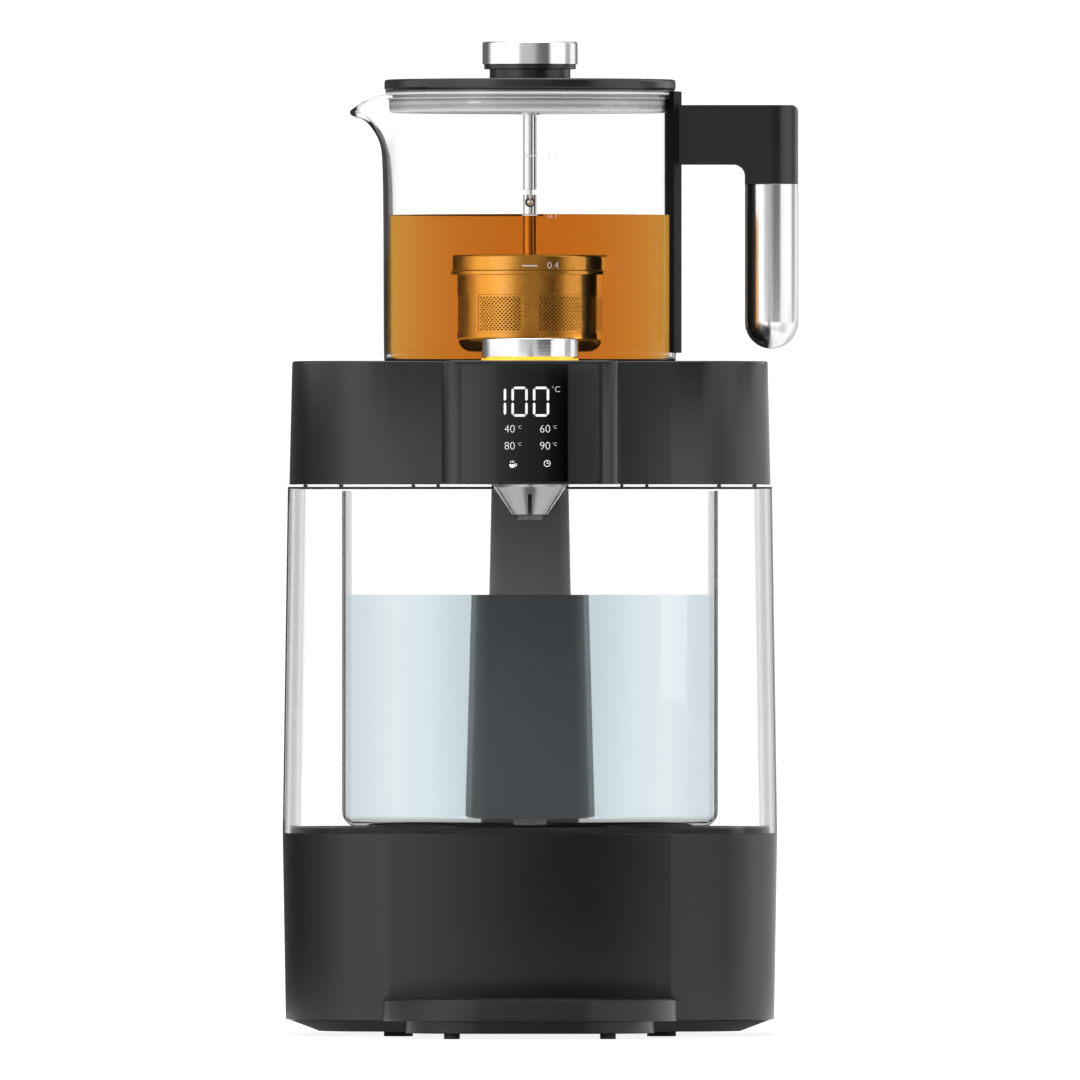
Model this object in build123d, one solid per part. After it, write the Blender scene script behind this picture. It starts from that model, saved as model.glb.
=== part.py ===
from build123d import *
from math import atan2, cos, radians, sin, tan
import os

# An automatic tea maker. A clear water tank stands in a clear outer shell on a
# black base. A pump and a flow heater in the base send hot water up a column
# behind the tank to a head, whose front bump holds the display, a dial and the
# nozzle. A glass jug with a tea basket under its lid stands on the head's hot
# plate, and a drip tray stands in front of the base.
#
# Lengths are in millimetres and angles in degrees. X runs to the right, Y to the
# back and Z up. Pieces are made about the middle of the body, and save() moves
# them so that the origin is under the middle of the whole outline.

# ---- Fits and gaps
RUN_FIT = 0.05          # radial clearance of a shaft that turns or slides
GAP = 0.3               # between pieces that come apart or move past each other
OVERCUT = 1.0           # how far a cut runs past the wall that it opens

# ---- Body, as seen from above
BODY_W = 222.0          # width where the base meets the clear shell
BODY_D = 190.0          # depth there
CORNER_R = 48.0         # corner radius there
BASE_DRAFT = 1.4        # each side comes in this much at the lower edge of the base
SHELL_DRAFT = 2.3       # at the rim of the clear shell
HEAD_LOW_DRAFT = 3.0    # at the lower edge of the head
HEAD_TOP_DRAFT = 4.3    # at the top of the head

# ---- Heights of the stack, from the table up
FEET_H = 2.2
PLATE_H = 5.2
BASE_H = 83.6
SHELL_H = 154.5
SEAL_H = 0.9
RIB_H = 1.1
HEAD_H = 55.3

# ---- Base
BASE_WALL = 2.6
PLATE_EDGE = 1.3        # the underside starts this far inside the base wall
PLATE_UNDERCUT = 15.0   # and comes in this much by the time it reaches the feet
PLATE_FLOOR = 2.4
DECK_T = 4.5
DECK_RISE = 2.4         # the part of the deck that stands inside the clear shell
SEAT_RISE = 1.8         # the tank's seat above that
SEAT_IN_SIDE = 13.5     # the seat is this much smaller than the tank on each side
SEAT_IN_END = 21.0      # and at the front and back
SEAT_R = 28.0
BOSS_R = 4.5
BASE_BOSS_IN_X = 31.0   # from the body's side to a screw boss
BASE_BOSS_IN_Y = 37.0   # from its front or back
FOOT_R = 6.5
FOOT_IN_X = 52.0
FOOT_IN_Y = 35.0
VENT_W = 3.0
VENT_L = 26.0
VENT_PITCH = 9.0
VENT_COUNT = 7
VENT_IN_Y = 33.0        # from the body's front to the middle of the vents

# ---- Screws
SCREW_R = 1.7
SCREW_HEAD_R = 3.4
SCREW_HEAD_H = 1.6
SCREW_L = 15.0

# ---- Clear shell and tank
SHELL_WALL = 3.0
TANK_W = 169.0
TANK_WALL = 2.2
TANK_FLOOR = 2.4
TANK_FRONT_R = 100.0    # the bowed front
TANK_EDGE_R = 16.0      # upright corners beside the bow
TANK_BACK_R = 14.0
TANK_FOOT_R = 7.0
TANK_IN_FRONT = 7.0     # from the body's front to the tank
TANK_FOOT_DROP = 1.5    # the tank's lower edge hangs this far below its seat
TANK_HEADROOM = 0.9     # below the rim of the clear shell
SEAL_NIB_T = 1.1        # spacer ribs between the seal and the head
SEAL_NIB_IN = (10.0, 26.0, 58.5, 69.7)      # their places, from the body's side

# ---- Column behind the tank
SPINE_W_LOW = 41.0
SPINE_W_TOP = 34.8
SPINE_D = 38.0
SPINE_R = 5.0
SPINE_WALL = 2.0
SPINE_GAP = 3.5         # behind the tank
SPINE_IN_BACK = 7.5     # from the body's back to the column

# ---- Head
HEAD_WALL = 2.6
HEAD_EDGE_R = 1.2
BUMP_W = 79.0
BUMP_OUT = 45.0         # in front of the body
BUMP_IN = 30.0          # how far its sides run back into the head
BUMP_R = 7.0
FLOOR_T = 2.6
HEAD_BOSS_IN_X = 33.0   # from the body's side to a screw boss
HEAD_BOSS_IN_Y = 37.0   # from its front or back
HEAD_BOSS_R = 4.0
WINDOW_SIDE = 9.0       # the bump is this much wider than the window on each side
WINDOW_END = 2.15       # and this much higher above and below it
WINDOW_T = 1.6
WINDOW_R = 1.5
LIGHT_IN_SIDE = 10.5    # the digits' opening is this much smaller than the window
LIGHT_IN_END = 3.5
BOARD_T = 1.6

# ---- Hot plate in the head's top
JUG_Y = -15.0
RECESS_DEPTH = 4.4
RECESS_WALL = 2.6
RECESS_GAP = 1.0        # round the jug
PLATE_IN = 5.0          # the plate's radius is this much less than the jug's
PLATE_T = 1.0
PLATE_LEDGE = 5.0       # the width that the plate rests on
PLATE_SPIGOT_H = 4.0
PLATE_SPIGOT_T = 1.2
PLATE_SEAL_T = 0.5
RING_IN = 9.0           # from the ledge to the heating ring under the plate
RING_W = 10.0
RING_H = 7.0

# ---- Dial on the bump
DIAL_IN = 25.0          # from the bump's front to the dial's axis
DIAL_R = 21.6
DIAL_H = 8.3
DIAL_WALL = 1.5
DIAL_TOP_T = 1.8
DIAL_EDGE_R = 0.8
DIAL_TRAVEL = 0.6
LIGHT_PROUD = 0.1       # the light ring is this much wider than the dial
LIGHT_H = 0.8
LIGHT_LIP_GAP = 0.8     # between its lip and the dial's wall
LIGHT_LIP_H = 2.8
LIGHT_HOLE_GAP = 8.0    # round the dial's hub
CORE_T = 3.4
HUB_R = 7.0
PLUNGER_R = 4.0
PLUNGER_H = 13.2
ENCODER_W = 18.0
ENCODER_H = 11.0

# ---- Nozzle
NOZZLE_IN = 22.0        # from the bump's front to the nozzle's axis
NOZZLE_TOP_R = 16.2
NOZZLE_TIP_GAP = 0.9    # between the cone's tip and the outlet tube
NOZZLE_COLLAR_H = 1.3
NOZZLE_H = 13.6
NOZZLE_WALL = 1.5
SLIT_W = 1.8
SLIT_H = 9.0
OUTLET_R = 5.4
OUTLET_BORE_R = 3.0
OUTLET_DROP = 2.4       # below the cone
OUTLET_RISE = 6.0       # above the head's floor underside

# ---- Jug
JUG_R = 66.0
JUG_H = 122.4
GLASS_T = 2.5
GLASS_FLOOR = 3.2
JUG_FOOT_R = 8.0
JUG_LIFT_GAP = 0.3      # over the hot plate
SPOUT_REACH = 15.3      # beyond the glass
SPOUT_DROP = 6.6        # of its tip below the rim
SPOUT_ROOT = 21.5       # below the rim
SPOUT_UNDER = 9.3       # of its underside at the tip below the rim
SPOUT_W_TOP = 44.0
SPOUT_W_ROOT = 14.0
SPOUT_BACK = 14.0       # how far it is rooted inside the glass circle
SPOUT_TIP_R = 4.0
SPOUT_WALL = 2.0
SPOUT_STEPS = 5         # sections up its curved underside

# ---- Handle
STRAP_T = 2.2
STRAP_HALF_ANGLE = 18.6
STRAP_LOW = 6.5         # above the jug's foot
STRAP_TOP = 1.5         # above the rim
ARM_TOP = 4.6           # below the rim
ARM_H = 26.7
ARM_REACH = 52.4        # from the strap to the outer end
ARM_CORNER_R = 3.0
ARM_CROTCH_R = 5.0
ARM_DROP = 35.5         # outer end's height
GRIP_R = 12.0
GRIP_OVER_HEAD = 5.7    # the grip ends this far above the head
GRIP_WALL = 1.4
CORE_L = 22.0

# ---- Lid
LID_IN = 0.5            # the lid's radius is this much less than the jug's
LID_T = 4.9
LID_EDGE_R = 1.2
FLANGE_T = 1.7
FLANGE_IN = 1.0
PLUG_GAP = 1.2          # inside the jug's bore
PLUG_NECK_IN = 1.6      # the groove over the plug
PLUG_H = 8.4
PLUG_NECK_H = 2.4
PLUG_WALL = 2.4
PLUG_EDGE_R = 2.0
LID_SEAL_T = 0.7
KNOB_NECK_R = 18.2
KNOB_NECK_H = 4.7
KNOB_RING_R = 20.6
KNOB_RING_H = 2.2
KNOB_R = 21.4
KNOB_H = 10.1
KNOB_WALL = 1.5
KNOB_EDGE_R = 0.9

# ---- Rod and basket
ROD_R = 3.0
ROD_FLANGE_R = 5.0
ROD_FLANGE_H = 0.8
LINK_NECK_R = 1.1
LINK_BALL_R = 2.0
LINK_DROP = 5.6         # from the rod's end to the ball's centre
LINK_GAP = 0.2
LINK_SLOT_W = 3.0
LINK_OVER = 3.4         # stem above the ball's centre
STEM_L = 27.2           # stem from its top to the basket's cap
CAP_OVER = 2.1          # the cap's radius is this much more than the cup's
CAP_H = 6.8
CAP_T = 0.9
BEAD_OVER = 2.8
BEAD_H = 2.0
CUP_R = 32.0
CUP_UP = 4.2            # the cup hangs this far above the jug's floor
CUP_H = 36.2            # from the bead's top down
CUP_T = 0.9
CUP_FOOT_R = 6.0
PANEL_COUNT = 7
PANEL_ANGLE = 40.0
PANEL_H = 17.2
PANEL_TOP = 9.0         # below the bead's underside
PANEL_T = 0.4

# ---- Drip tray
TRAY_W = 131.5
TRAY_D = 90.0
TRAY_FRONT_R = 42.0
TRAY_BACK_R = 3.0
TRAY_FEET_H = 2.4
TRAY_BOWL_IN = 10.2     # the bowl is narrower than the rim
TRAY_BOWL_H = 5.5
TRAY_RIM_H = 9.3
TRAY_WALL = 2.0
TRAY_FLOOR = 1.8
TRAY_GAP = 0.6          # to the base
TRAY_FOOT_R = 3.5
TRAY_FOOT_X = 34.8
TRAY_FOOT_IN = 18.0     # from the tray's front and back edges
GRILLE_T = 2.4
GRILLE_PROUD = 0.3
SLOT_COUNT = 3
SLOT_IN = 7.0           # from the tray's edge to the outer ring slot
SLOT_W = 7.0
SLOT_PITCH = 12.0
SPOKE_W = 4.0
SPOKE_COUNT = 6
SPOKE_START = 30.0
TONGUE_X = 34.8
TONGUE_W = 12.0
TONGUE_H = 3.2
TONGUE_L = 8.0
TONGUE_UP = 2.4         # above the base's lower edge

# ---- Fill flap at the back of the head
FLAP_W = 70.0
FLAP_GAP = 3.4          # between the jug's recess and the flap
FLAP_T = 2.2
FLAP_PIN_IN = 11.5      # from the body's back to the pin
FLAP_PIN_R = 1.0
FLAP_BARREL_R = 2.0
FLAP_NOTCH_R = 7.0
EAR_W = 6.0
CHUTE_IN_SIDE = 5.0     # the chute is this much narrower than the flap on each side
CHUTE_LEDGE = 3.25      # flange before and behind the chute's mouth
CHUTE_LOW_D = 24.0
CHUTE_WALL = 1.8
CHUTE_FLANGE_T = 1.8
CHUTE_IN_TANK = 15.0    # from the tank's back to the middle of the chute's lower end

# ---- Pump and heater in the base
PUMP_X = 0.0
PUMP_IN_TANK = 40.0     # from the tank's back to the pump
MOUNT_R = 22.0
MOUNT_H = 8.0
MOUNT_CUP_H = 5.0
MOTOR_R = 17.0
MOTOR_H = 38.0
HOUSING_R = 22.0
HOUSING_H = 16.0
HOUSING_WALL = 2.5
IMPELLER_R = 17.5
IMPELLER_T = 2.0
BLADE_H = 5.0
BLADE_T = 1.6
BLADE_COUNT = 6
SHAFT_R = 1.5
SHAFT_L = 16.0
PORT_R = 4.0
PORT_BORE_R = 2.5
PORT_L = 7.0
HOSE_WALL = 1.8
TUBE_R = 3.5
TUBE_BORE_R = 2.2
HEATER_IN = 45.0        # from the body's side to the heater's middle
HEATER_W = 34.0
HEATER_H = 22.0
HEATER_EDGE_R = 5.5
HEATER_GAP = 5.5        # between its ends and the screw bosses
HEATER_PORT_IN = 14.0   # from its ends to its ports
HEATER_PORT_H = 5.0
BRACKET_T = 1.5
BRACKET_UP = 9.0
BRACKET_D = 12.0
BRACKET_IN = 18.0
CIRCUIT_IN = 51.0       # from the body's side to the board's middle
CIRCUIT_W = 64.0
CIRCUIT_D = 78.0
CIRCUIT_GAP = 2.5       # between the board and the front screw boss
CAPACITOR_R = 8.0
CAPACITOR_H = 16.0
CAPACITOR_X = -16.0     # places on the board, from its middle
RELAY_W = 16.0
RELAY_D = 19.5
RELAY_H = 16.0
TERMINAL_W = 24.0
TERMINAL_D = 10.0
TERMINAL_H = 8.0
TERMINAL_Y = 26.0
POST_R = 3.0
POST_H = 7.0
POST_IN = 6.0
INLET_IN = 53.0         # from the body's side to the inlet's middle
INLET_W = 30.0
INLET_H = 22.0
INLET_D = 24.0
INLET_UP = 22.0         # above the base's lower edge
INLET_WALL = 3.0
INLET_HOLE_D = 15.0
INLET_PIN_R = 2.0
INLET_PIN_X = 5.0
INLET_PIN_L = 10.0
INLET_SET_IN = 1.5
OUTLET_FLANGE_R = 11.0
OUTLET_FLANGE_T = 1.8
OUTLET_BODY_R = 7.0
BEND_R = 8.0
LOOM_R = 2.6
TUBE_PASS = 18.0        # the tube runs this far beside the chute
RISER_X = 7.5           # tube and loom stand this far each side of the middle

# ---- Levels and places worked out from these
BODY_TAPER = BODY_W - BODY_D    # the depth is this much less than the width
BASE_FOOT_W = BODY_W - 2 * BASE_DRAFT
SHELL_TOP_W = BODY_W - 2 * SHELL_DRAFT
HEAD_LOW_W = BODY_W - 2 * HEAD_LOW_DRAFT
HEAD_TOP_W = BODY_W - 2 * HEAD_TOP_DRAFT
BASE_BOSS_X = BODY_W / 2 - BASE_BOSS_IN_X
BASE_BOSS_Y = BODY_D / 2 - BASE_BOSS_IN_Y
HEAD_BOSS_X = BODY_W / 2 - HEAD_BOSS_IN_X
HEAD_BOSS_Y = BODY_D / 2 - HEAD_BOSS_IN_Y
FOOT_X = BODY_W / 2 - FOOT_IN_X
FOOT_Y = BODY_D / 2 - FOOT_IN_Y
VENT_Y = -(BODY_D / 2 - VENT_IN_Y)

BASE_LOW = FEET_H + PLATE_H
SEAM = BASE_LOW + BASE_H
DECK_TOP = SEAM + DECK_RISE
SEAT_TOP = DECK_TOP + SEAT_RISE
SHELL_TOP = SEAM + SHELL_H
SEAL_TOP = SHELL_TOP + SEAL_H
HEAD_LOW = SEAL_TOP + RIB_H
HEAD_TOP = HEAD_LOW + HEAD_H
FLOOR_TOP = HEAD_LOW + FLOOR_T
PLATE_INSIDE = BASE_LOW - PLATE_H + PLATE_FLOOR

RECESS_FLOOR = HEAD_TOP - RECESS_DEPTH
RECESS_R = JUG_R + RECESS_GAP
PLATE_R = JUG_R - PLATE_IN
PLATE_HOLE_R = PLATE_R - PLATE_LEDGE
PLATE_LOW = RECESS_FLOOR + PLATE_SEAL_T
PLATE_TOP = PLATE_LOW + PLATE_T
JUG_LOW = PLATE_TOP + JUG_LIFT_GAP
RIM = JUG_LOW + JUG_H
JUG_BORE = JUG_R - GLASS_T

TANK_LOW = SEAT_TOP - TANK_FOOT_DROP
TANK_INSIDE = SEAT_TOP + TANK_FLOOR
TANK_TOP = SHELL_TOP - TANK_HEADROOM
SPINE_BACK_Y = BODY_D / 2 - SPINE_IN_BACK
SPINE_FRONT_Y = SPINE_BACK_Y - SPINE_D
SPINE_Y = SPINE_FRONT_Y + SPINE_D / 2
TANK_FRONT_Y = -(BODY_D / 2 - TANK_IN_FRONT)
TANK_BACK_Y = SPINE_FRONT_Y - SPINE_GAP
TANK_D = TANK_BACK_Y - TANK_FRONT_Y
TANK_Y = TANK_FRONT_Y + TANK_D / 2
SEAT_W = TANK_W - 2 * SEAT_IN_SIDE
SEAT_D = TANK_D - 2 * SEAT_IN_END

BUMP_FRONT_Y = -(BODY_D / 2 + BUMP_OUT)
BUMP_BACK_Y = -(BODY_D / 2 - BUMP_IN)
WINDOW_W = BUMP_W - 2 * WINDOW_SIDE
WINDOW_H = HEAD_H - 2 * WINDOW_END
WINDOW_LIGHT_W = WINDOW_W - 2 * LIGHT_IN_SIDE
WINDOW_LIGHT_H = WINDOW_H - 2 * LIGHT_IN_END

LID_R = JUG_R - LID_IN
FLANGE_R = JUG_R - FLANGE_IN
PLUG_R = JUG_BORE - PLUG_GAP
PLUG_NECK_R = PLUG_R - PLUG_NECK_IN
LID_STOP = RIM + GAP
LID_LOW = LID_STOP + FLANGE_T
LID_TOP = LID_LOW + LID_T
PLUG_LOW = LID_STOP - PLUG_H
KNOB_RING_LOW = LID_TOP + KNOB_NECK_H
KNOB_LOW = KNOB_RING_LOW + KNOB_RING_H
KNOB_TOP = KNOB_LOW + KNOB_H

CAP_R = CUP_R + CAP_OVER
BEAD_R = CUP_R + BEAD_OVER
CUP_LOW = JUG_LOW + GLASS_FLOOR + CUP_UP
BEAD_TOP = CUP_LOW + CUP_H
BEAD_LOW = BEAD_TOP - BEAD_H
CAP_TOP = BEAD_TOP + CAP_H
STEM_TOP = CAP_TOP + STEM_L
BALL_Z = STEM_TOP - LINK_OVER
ROD_LOW = BALL_Z + LINK_DROP

STRAP_R = JUG_R + STRAP_T
ARM_Z1 = RIM - ARM_TOP
ARM_Z0 = ARM_Z1 - ARM_H
ARM_END = STRAP_R + ARM_REACH
GRIP_X = ARM_END - GRIP_R
GRIP_TOP = ARM_Z1 - ARM_DROP
GRIP_LOW = HEAD_TOP + GRIP_OVER_HEAD

DIAL_Y = BUMP_FRONT_Y + DIAL_IN
LIGHT_R = DIAL_R + LIGHT_PROUD
LIGHT_LIP_R = DIAL_R - DIAL_WALL - LIGHT_LIP_GAP
LIGHT_HOLE_R = HUB_R + LIGHT_HOLE_GAP
DIAL_LOW = HEAD_TOP + LIGHT_H + DIAL_TRAVEL + GAP / 2
DIAL_TOP = DIAL_LOW + DIAL_H
CORE_TOP = DIAL_TOP - DIAL_TOP_T
CORE_LOW = CORE_TOP - CORE_T
PLUNGER_TOP = CORE_LOW
PLUNGER_LOW = PLUNGER_TOP - PLUNGER_H

NOZZLE_Y = BUMP_FRONT_Y + NOZZLE_IN
NOZZLE_TIP_R = OUTLET_R + NOZZLE_TIP_GAP + NOZZLE_WALL
NOZZLE_LOW = HEAD_LOW - NOZZLE_H
OUTLET_LOW = NOZZLE_LOW - OUTLET_DROP
OUTLET_TOP = HEAD_LOW + OUTLET_RISE

TRAY_BACK_Y = -(BODY_D / 2 - BASE_DRAFT + TRAY_GAP)
TRAY_Y = TRAY_BACK_Y - TRAY_D / 2
TRAY_FRONT_Y = TRAY_BACK_Y - TRAY_D
TRAY_RIM_LOW = TRAY_FEET_H + TRAY_BOWL_H
TRAY_TOP = TRAY_RIM_LOW + TRAY_RIM_H
TRAY_INSIDE = TRAY_FEET_H + TRAY_FLOOR
GRILLE_TOP = TRAY_TOP + GRILLE_PROUD
GRILLE_LOW = GRILLE_TOP - GRILLE_T
TONGUE_LOW = BASE_LOW + TONGUE_UP

FLAP_FRONT_Y = JUG_Y + RECESS_R + RECESS_WALL + FLAP_GAP
FLAP_PIN_Y = BODY_D / 2 - FLAP_PIN_IN
FLAP_PIN_Z = HEAD_TOP - FLAP_BARREL_R
FLAP_LOW = HEAD_TOP - FLAP_T
CHUTE_TOP = FLAP_LOW - GAP
CHUTE_W = FLAP_W - 2 * CHUTE_IN_SIDE
CHUTE_TOP_D = FLAP_PIN_Y - FLAP_BARREL_R - FLAP_FRONT_Y - 2 * CHUTE_LEDGE
CHUTE_TOP_Y = (FLAP_FRONT_Y + FLAP_PIN_Y - FLAP_BARREL_R) / 2
CHUTE_LOW_Y = TANK_BACK_Y - CHUTE_IN_TANK
TUBE_RUN_X = CHUTE_W / 2 + TUBE_PASS

PUMP_Y = TANK_BACK_Y - PUMP_IN_TANK
MOTOR_LOW = PLATE_INSIDE + MOUNT_H - MOUNT_CUP_H
MOTOR_TOP = MOTOR_LOW + MOTOR_H
HOUSING_TOP = MOTOR_TOP + HOUSING_H
PUMP_PORT_Z = MOTOR_TOP + HOUSING_H / 2
HEATER_X = BODY_W / 2 - HEATER_IN
HEATER_D = 2 * (BASE_BOSS_Y - BOSS_R - HEATER_GAP)
HEATER_PORT_Y = HEATER_D / 2 - HEATER_PORT_IN
BRACKET_Y = HEATER_D / 2 - BRACKET_IN
HEATER_LOW = PLATE_INSIDE + BRACKET_UP
HEATER_TOP = HEATER_LOW + HEATER_H
CIRCUIT_X = -(BODY_W / 2 - CIRCUIT_IN)
CIRCUIT_Y = CIRCUIT_D / 2 - (BASE_BOSS_Y - BOSS_R - CIRCUIT_GAP)
CIRCUIT_LOW = PLATE_INSIDE + POST_H
CIRCUIT_TOP = CIRCUIT_LOW + BOARD_T
INLET_X = -(BODY_W / 2 - INLET_IN)
INLET_Z = BASE_LOW + INLET_UP + INLET_H / 2
DECK_LOW = SEAM - DECK_T

# ---- The outline's box, whose middle is the origin
X_MIDDLE = (max(ARM_END, BODY_W / 2) - BODY_W / 2) / 2
Y_MIDDLE = (BODY_D / 2 + TRAY_FRONT_Y) / 2


def save(name, shape):
    """Write one sub-part, moved into the part's own frame."""
    export_step(Pos(-X_MIDDLE, -Y_MIDDLE, 0) * shape, f"parts/{name}.step")


def disc(radius, low, top, x=0.0, y=0.0):
    """An upright cylinder between two heights."""
    return Pos(x, y, (low + top) / 2) * Cylinder(radius, top - low)


def tube(radius, bore, low, top, x=0.0, y=0.0):
    """An upright tube between two heights."""
    return disc(radius, low, top, x, y) - disc(bore, low, top, x, y)


def bar(x0, x1, y0, y1, z0, z1):
    """A box between two corners."""
    middle = Pos((x0 + x1) / 2, (y0 + y1) / 2, (z0 + z1) / 2)
    return middle * Box(x1 - x0, y1 - y0, z1 - z0)


def body_plan(width, z, inset=0.0):
    """The body's outline at a height where it is this wide, pulled in by inset."""
    wide = width - 2 * inset
    radius = CORNER_R - (BODY_W - wide) / 2
    return Pos(0, 0, z) * RectangleRounded(wide, wide - BODY_TAPER, radius)


def body_block(low_width, low, top_width, top, inset=0.0):
    """The body's outline drawn from one height to another."""
    return loft([body_plan(low_width, low, inset), body_plan(top_width, top, inset)], ruled=True)


def body_ring(low_width, low, top_width, top, wall):
    """A wall that follows the body's outline."""
    outer = body_block(low_width, low, top_width, top)
    return outer - body_block(low_width, low, top_width, top, wall)


def width_at(z, low_width, low, top_width, top):
    """Width of a tapered wall at height z."""
    return low_width + (top_width - low_width) * (z - low) / (top - low)


def corners(x, y):
    """Four places, the same distance each side of the middle."""
    return [(-x, -y), (x, -y), (-x, y), (x, y)]


def pipe(points, radius, bore, bend):
    """A tube of one bend radius along straight runs."""
    path = FilletPolyline(*points, radius=bend)
    ends = Plane(origin=path @ 0, z_dir=path % 0)
    wall = sweep(ends * Circle(radius), path=path)
    return wall if bore == 0 else wall - sweep(ends * Circle(bore), path=path)


# ---- Base
def base_shell():
    """The black wall of the base, with slots for the tray and a hole for the inlet."""
    wall = body_ring(BASE_FOOT_W, BASE_LOW, BODY_W, SEAM, BASE_WALL)
    front = -BODY_D / 2
    for side in (-1, 1):
        x = side * TONGUE_X
        half = TONGUE_W / 2 + GAP
        wall -= bar(x - half, x + half, front - OVERCUT, front + INLET_D,
                    TONGUE_LOW - GAP, TONGUE_LOW + TONGUE_H + GAP)
    back = BODY_D / 2
    wall -= bar(INLET_X - INLET_W / 2, INLET_X + INLET_W / 2, back - INLET_D, back + OVERCUT,
                INLET_Z - INLET_H / 2, INLET_Z + INLET_H / 2)
    return wall


def base_plate():
    """The underside: a shallow dish with vents, posts and screw holes."""
    low = body_plan(BASE_FOOT_W, FEET_H, PLATE_UNDERCUT)
    top = body_plan(BASE_FOOT_W, BASE_LOW, PLATE_EDGE)
    dish = loft([low, top], ruled=True)
    dish -= extrude(body_plan(BASE_FOOT_W, PLATE_INSIDE, PLATE_UNDERCUT + BASE_WALL), PLATE_H)
    for x, y in corners(CIRCUIT_W / 2 - POST_IN, CIRCUIT_D / 2 - POST_IN):
        dish += disc(POST_R, PLATE_INSIDE, CIRCUIT_LOW, CIRCUIT_X + x, CIRCUIT_Y + y)
    for x, y in corners(BASE_BOSS_X, BASE_BOSS_Y):
        dish -= disc(SCREW_R, FEET_H, PLATE_INSIDE, x, y)
        dish -= disc(SCREW_HEAD_R, FEET_H, FEET_H + SCREW_HEAD_H, x, y)
    for i in range(VENT_COUNT):
        x = (i - (VENT_COUNT - 1) / 2) * VENT_PITCH
        slot = Pos(x, VENT_Y, FEET_H) * Rot(0, 0, 90) * SlotOverall(VENT_L, VENT_W)
        dish -= extrude(slot, PLATE_FLOOR)
    return dish


def base_feet():
    """Four rubber feet under the base."""
    return [disc(FOOT_R, 0, FEET_H, x, y) for x, y in corners(FOOT_X, FOOT_Y)]


def screw(x, y, low, length):
    """A cap screw with its head down."""
    return disc(SCREW_HEAD_R, low, low + SCREW_HEAD_H, x, y) + disc(SCREW_R, low, low + length, x, y)


def base_screws():
    """Screws that hold the underside to the deck's bosses."""
    return [screw(x, y, FEET_H, SCREW_L) for x, y in corners(BASE_BOSS_X, BASE_BOSS_Y)]


def base_deck():
    """The top of the base: it carries the clear shell, the tank and the column."""
    inner = width_at(DECK_LOW, BASE_FOOT_W, BASE_LOW, BODY_W, SEAM)
    deck = loft([body_plan(inner, DECK_LOW, BASE_WALL), body_plan(BODY_W, SEAM, BASE_WALL)], ruled=True)
    deck += extrude(body_plan(BODY_W, SEAM, SHELL_WALL + GAP), DECK_RISE)
    seat = Pos(0, TANK_Y, DECK_TOP) * RectangleRounded(SEAT_W, SEAT_D, SEAT_R)
    deck += extrude(seat, SEAT_RISE)
    for x, y in corners(BASE_BOSS_X, BASE_BOSS_Y):
        deck += tube(BOSS_R, SCREW_R, PLATE_INSIDE, DECK_LOW, x, y)
        deck -= disc(SCREW_R, PLATE_INSIDE, FEET_H + SCREW_L, x, y)
    deck -= disc(OUTLET_BODY_R, DECK_LOW, SEAT_TOP, PUMP_X, PUMP_Y)
    deck -= disc(TUBE_R, DECK_LOW, DECK_TOP, RISER_X, SPINE_Y)
    deck -= disc(LOOM_R, DECK_LOW, DECK_TOP, -RISER_X, SPINE_Y)
    return deck


# ---- Clear shell, seal and tank
def outer_shell():
    """The clear outer wall."""
    return body_ring(BODY_W, SEAM, SHELL_TOP_W, SHELL_TOP, SHELL_WALL)


def shell_seal():
    """The dark ring on the clear shell's rim."""
    ring = body_plan(SHELL_TOP_W, SHELL_TOP) - body_plan(SHELL_TOP_W, SHELL_TOP, SHELL_WALL)
    return extrude(ring, SEAL_H)


def tank_plan(inset=0.0):
    """The tank's outline: square at the back, bowed at the front."""
    box = RectangleRounded(TANK_W - 2 * inset, TANK_D - 2 * inset, TANK_BACK_R - inset)
    bow = Pos(0, TANK_FRONT_R - TANK_D / 2) * Circle(TANK_FRONT_R - inset)
    outline = box & bow
    outline = fillet(outline.vertices().sort_by(Axis.Y)[:2], TANK_EDGE_R - inset)
    return Pos(0, TANK_Y) * outline


def tank():
    """The water tank, with a recess under it that drops over the deck's seat."""
    body = extrude(Pos(0, 0, TANK_LOW) * tank_plan(), TANK_TOP - TANK_LOW)
    body = fillet(body.edges().group_by(Axis.Z)[0], TANK_FOOT_R)
    body -= extrude(Pos(0, 0, TANK_INSIDE) * tank_plan(TANK_WALL), TANK_TOP - TANK_INSIDE)
    seat = Pos(0, TANK_Y, TANK_LOW) * RectangleRounded(SEAT_W + 2 * GAP, SEAT_D + 2 * GAP, SEAT_R + GAP)
    body -= extrude(seat, SEAT_TOP - TANK_LOW)
    return body - disc(OUTLET_BODY_R, SEAT_TOP, TANK_INSIDE, PUMP_X, PUMP_Y)


def tank_outlet():
    """The flanged outlet through the tank's floor and the deck."""
    low = HOUSING_TOP + 2 * PORT_L
    body = disc(OUTLET_FLANGE_R, TANK_INSIDE, TANK_INSIDE + OUTLET_FLANGE_T, PUMP_X, PUMP_Y)
    body += disc(OUTLET_BODY_R, DECK_LOW, TANK_INSIDE, PUMP_X, PUMP_Y)
    body += disc(PORT_R, low, DECK_LOW, PUMP_X, PUMP_Y)
    return body - disc(PORT_BORE_R, low, TANK_INSIDE + OUTLET_FLANGE_T, PUMP_X, PUMP_Y)


# ---- Column
def spine_block(low, top, inset=0.0):
    """The column's outline, narrower towards the top."""
    depth = SPINE_D - 2 * inset
    radius = SPINE_R - inset
    foot = Pos(0, SPINE_Y, low) * RectangleRounded(SPINE_W_LOW - 2 * inset, depth, radius)
    head = Pos(0, SPINE_Y, top) * RectangleRounded(SPINE_W_TOP - 2 * inset, depth, radius)
    return loft([foot, head], ruled=True)


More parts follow.
